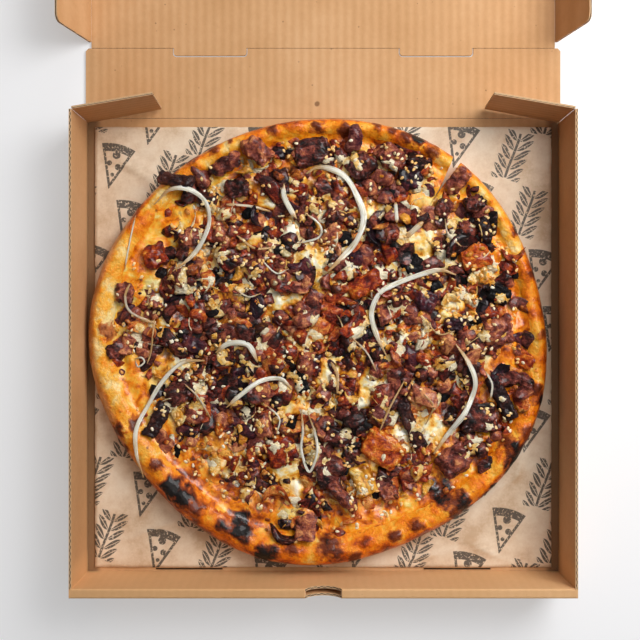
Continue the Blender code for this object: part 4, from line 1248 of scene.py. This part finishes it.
def tray_cut(f, x, y, z):
    """Where the tray's board is cut, the distance from its middle layer, and the way along the cut.

    The cuts that show are the vent through both panels of the front wall and the side walls' tops.
    """
    low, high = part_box("tray")
    outer = y - (low.y + BOARD_MIDDLE)
    inner = y - (low.y + RIDGE - BOARD_MIDDLE)
    off = (abs(outer) < abs(inner)) * (outer - inner) + inner
    _, normal_y, normal_z = f.axes(f.value("TexCoord", output="Normal"))
    in_vent = f.band(abs(normal_y), 0.6, 0.4) * (abs(x) < VENT_HALF_WIDTH)
    in_vent = in_vent * (z < WALL_CUT_TOP) * (y < low.y + RIDGE)
    on_side = f.band(normal_z, 0.6, 0.8) * (z > WALL_CUT_TOP) * (y > low.y + RIDGE)
    side_off = abs(x) - (high.x - BOARD_MIDDLE)
    off = on_side * (side_off - off) + off
    return f.greatest(in_vent, on_side), off, on_side * (y - x) + x


def paint_tray_shade_and_light(f, x, y, z, colour):
    """The tray's colour, with painted shade where its walls meet the floor beside the paper and painted
    light on the front wall's inner face.
    """
    inside = abs(x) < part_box("tray")[1].x - BOARD_MIDDLE
    # painted shade: dark brown on the floor strip beside the paper and up the lowest 8 mm of the side walls,
    # where the gap lies in shade
    foot = f.band(z, 8 * MM, 1.8 * MM) * f.band(abs(x), 145 * MM, 149.5 * MM) * inside * (z > 0.8 * MM)
    colour = f.mix(foot * 0.62, colour, "#42240E")
    # painted light: the inner face of the front wall is made lighter, as if lit from behind
    front = f.band(y, -128 * MM, -137 * MM) * (z > 2.5 * MM)
    return f.mix(front * 0.34, colour, "#F0BC82")


def board_finish(node, flutes, plane=None, ribs=1.0):
    """Corrugated board: brown paper with faint flutes along an axis, drawn as lighter and darker bands of
    painted light and shade, and its layers on the cut edges over painted shade in the hollow flutes.
    """
    f = Finish("board of " + node, Specular_IOR_Level=0.3, Roughness=0.72)
    x, y, z = f.axes()
    across = {"X": x, "Z": z}[flutes]
    wobble = (f.noise(14, 2) - 0.5) * (1.5 * MM)
    wave = f.math("COSINE", (across + wobble) * (math.tau / FLUTE_PITCH))
    fibres = f.noise(420, 5, 0.7, vector=f.stretched((1.0, 0.7, 0.8)))
    fine = f.noise(1600, 2)
    # the flutes show as faint lighter and darker bands: painted light and shade of their ripples
    value = f.noise(9, 4, 0.6) + (fibres - 0.5) * 0.3 + wave * (0.07 * ribs)
    colour = f.ramp(value, (0.28, "#C59463"), (0.5, "#D1A070"), (0.72, "#DCAE80"))
    speck = f.band(f.cells(210), 0.14, 0.08) * f.band(f.noise(130, 1), 0.6, 0.66)
    colour = f.mix(speck * 0.6, colour, "#7A5233")
    if node == "back_wall":
        away = f.value("VectorMath", {0: f.object_space, 1: STAIN_PLACE}, "Value", operation="DISTANCE")
        stain = f.band(fibres * (1.5 * MM) + away, 2.9 * MM, 1.9 * MM)
        colour = f.mix(stain * 0.75, colour, "#6E4426")
    if plane:
        edge, off = flat_cut(f, plane)
    else:
        edge, off, across = tray_cut(f, x, y, z)
        colour = paint_tray_shade_and_light(f, x, y, z, colour)
    sheets = f.band(abs((fine - 0.5) * (0.3 * MM) + off), LINER_DEPTH - 0.07 * MM, LINER_DEPTH + 0.07 * MM)
    core = f.math("SINE", across * (math.tau / FLUTE_CUT_PITCH)) * (0.42 * MM)
    medium = f.band(abs(off - core), 0.30 * MM, 0.16 * MM)
    # cut edges: pale paper layers and wavy medium over dark brown, which is painted shade in the hollow
    # flutes
    layers = f.mix(f.greatest(sheets, medium), "#26160C", "#E0B88C")
    relief = wave * (0.1 * ribs) + fine * 0.1 + fibres * 0.12
    return f.wear(Base_Color=f.mix(edge, colour, layers), Normal=f.bump(relief, 0.0006, 0.6))


# Each flat board by its node, with the axis that its flutes are counted along
FLAT_BOARDS = {"back_wall": "X", "lid_panel": "X", "lid_front_flap": "X", "lid_flap_left": "X",
               "lid_flap_right": "X", "corner_flap_left": "Z", "corner_flap_right": "Z"}


def dress_boards():
    """Gives each piece of board its own finish."""
    for node, flutes in FLAT_BOARDS.items():
        wear_on(node, board_finish(node, flutes, board_plane(node)))
    wear_on("tray", board_finish("tray", "X", ribs=0.4))


def wear_on(node, material):
    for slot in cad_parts[node].material_slots:
        slot.material = material


TABLE_HALF = 3.0


def table():
    """A pale table that glows a little, painted light that keeps its shadows pale, and painted dark brown
    under the box, darkest under the front, as shade seen through the gaps of the box.
    """
    f = Finish("table", Roughness=0.55, Specular_IOR_Level=0.3, Emission_Color="#FFFFFF")
    x, y, _ = f.axes()
    # painted light: outside the box the table glows a little so that its shadows stay pale
    bare = f.band(f.greatest(abs(x) - 150 * MM, abs(y) - 146 * MM), 0.0, 4 * MM)
    # painted shade: under the box the table is dark brown, darkest under the front, to show as shade through
    # the slit and gaps
    under = f.mix(f.band(y, -118 * MM, -108 * MM), "#2A1C12", "#8A6238")
    f.wear(Emission_Strength=bare * 0.36, Base_Color=f.mix(bare, under, "#CDCDCF"))
    corners = [(-1, -1), (1, -1), (1, 1), (-1, 1)]
    mesh = bpy.data.meshes.new("table")
    mesh.from_pydata([(TABLE_HALF * x, TABLE_HALF * y, -0.3 * MM) for x, y in corners], [], [[0, 1, 2, 3]])
    mesh.materials.append(f.material)
    made = bpy.data.objects.new("table", mesh)
    bpy.context.scene.collection.objects.link(made)


WORLD_STRENGTH = 0.16
# The soft lamps: name, place, size and power; all are aimed at the pizza
LAMPS = (
    ("key", (0.42, 0.36, 0.62), 0.45, 5.0),
    ("overhead", (0.35, 0.3, 1.1), 1.1, 3.9),
    ("back", (0.3, 1.8, 0.7), 0.8, 5.6),
)
LAMP_AIM = Vector((0, 0.02, 0))


def lights():
    """A weak white surround and soft lamps from the upper right and behind."""
    world = bpy.data.worlds.new("soft white")
    world.use_nodes = True
    colour, strength = world.node_tree.nodes["Background"].inputs[:2]
    colour.default_value = (1.0, 1.0, 1.0, 1.0)
    strength.default_value = WORLD_STRENGTH
    bpy.context.scene.world = world
    for name, place, size, power in LAMPS:
        lamp = bpy.data.lights.new(name, "AREA")
        lamp.size = size
        lamp.energy = power
        holder = bpy.data.objects.new(name, lamp)
        holder.location = place
        holder.rotation_euler = (Vector(place) - LAMP_AIM).to_track_quat("Z", "Y").to_euler()
        bpy.context.scene.collection.objects.link(holder)


def camera():
    """The camera, overhead."""
    made = bpy.data.objects.new("camera", bpy.data.cameras.new("camera"))
    made.data.lens = CAMERA_LENS_MM
    made.data.clip_start = 0.01
    made.location = CAMERA_PLACE
    bpy.context.scene.collection.objects.link(made)
    bpy.context.scene.camera = made
    bpy.context.scene.view_settings.view_transform = "Standard"


def main():
    table()
    lights()
    camera()
    dress_boards()
    paper_liner(paper_finish())
    finishes = {kind: cooked_finish(*looks) for kind, looks in COOKED.items()}
    finishes["wedge"] = wedge_finish()
    dough = lumpy_crust(crust_finish())
    bed = cheese_bed(cheese_finish(), dough)
    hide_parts("chopped_topping")
    note_footprints()
    heap = heap_of_toppings([dough, bed], finishes)
    large = large_toppings(finishes)
    laid = [dough, bed, *heap, *large]
    bits = crumbs(tree_of(laid), finishes)
    scraps = draped_cheese(tree_of(laid), finishes["melt"])
    tree = tree_of([*laid, *bits, scraps])
    sesame_seeds(tree, seed_finish())
    onion_ribbons(tree, onion_finish())


main()
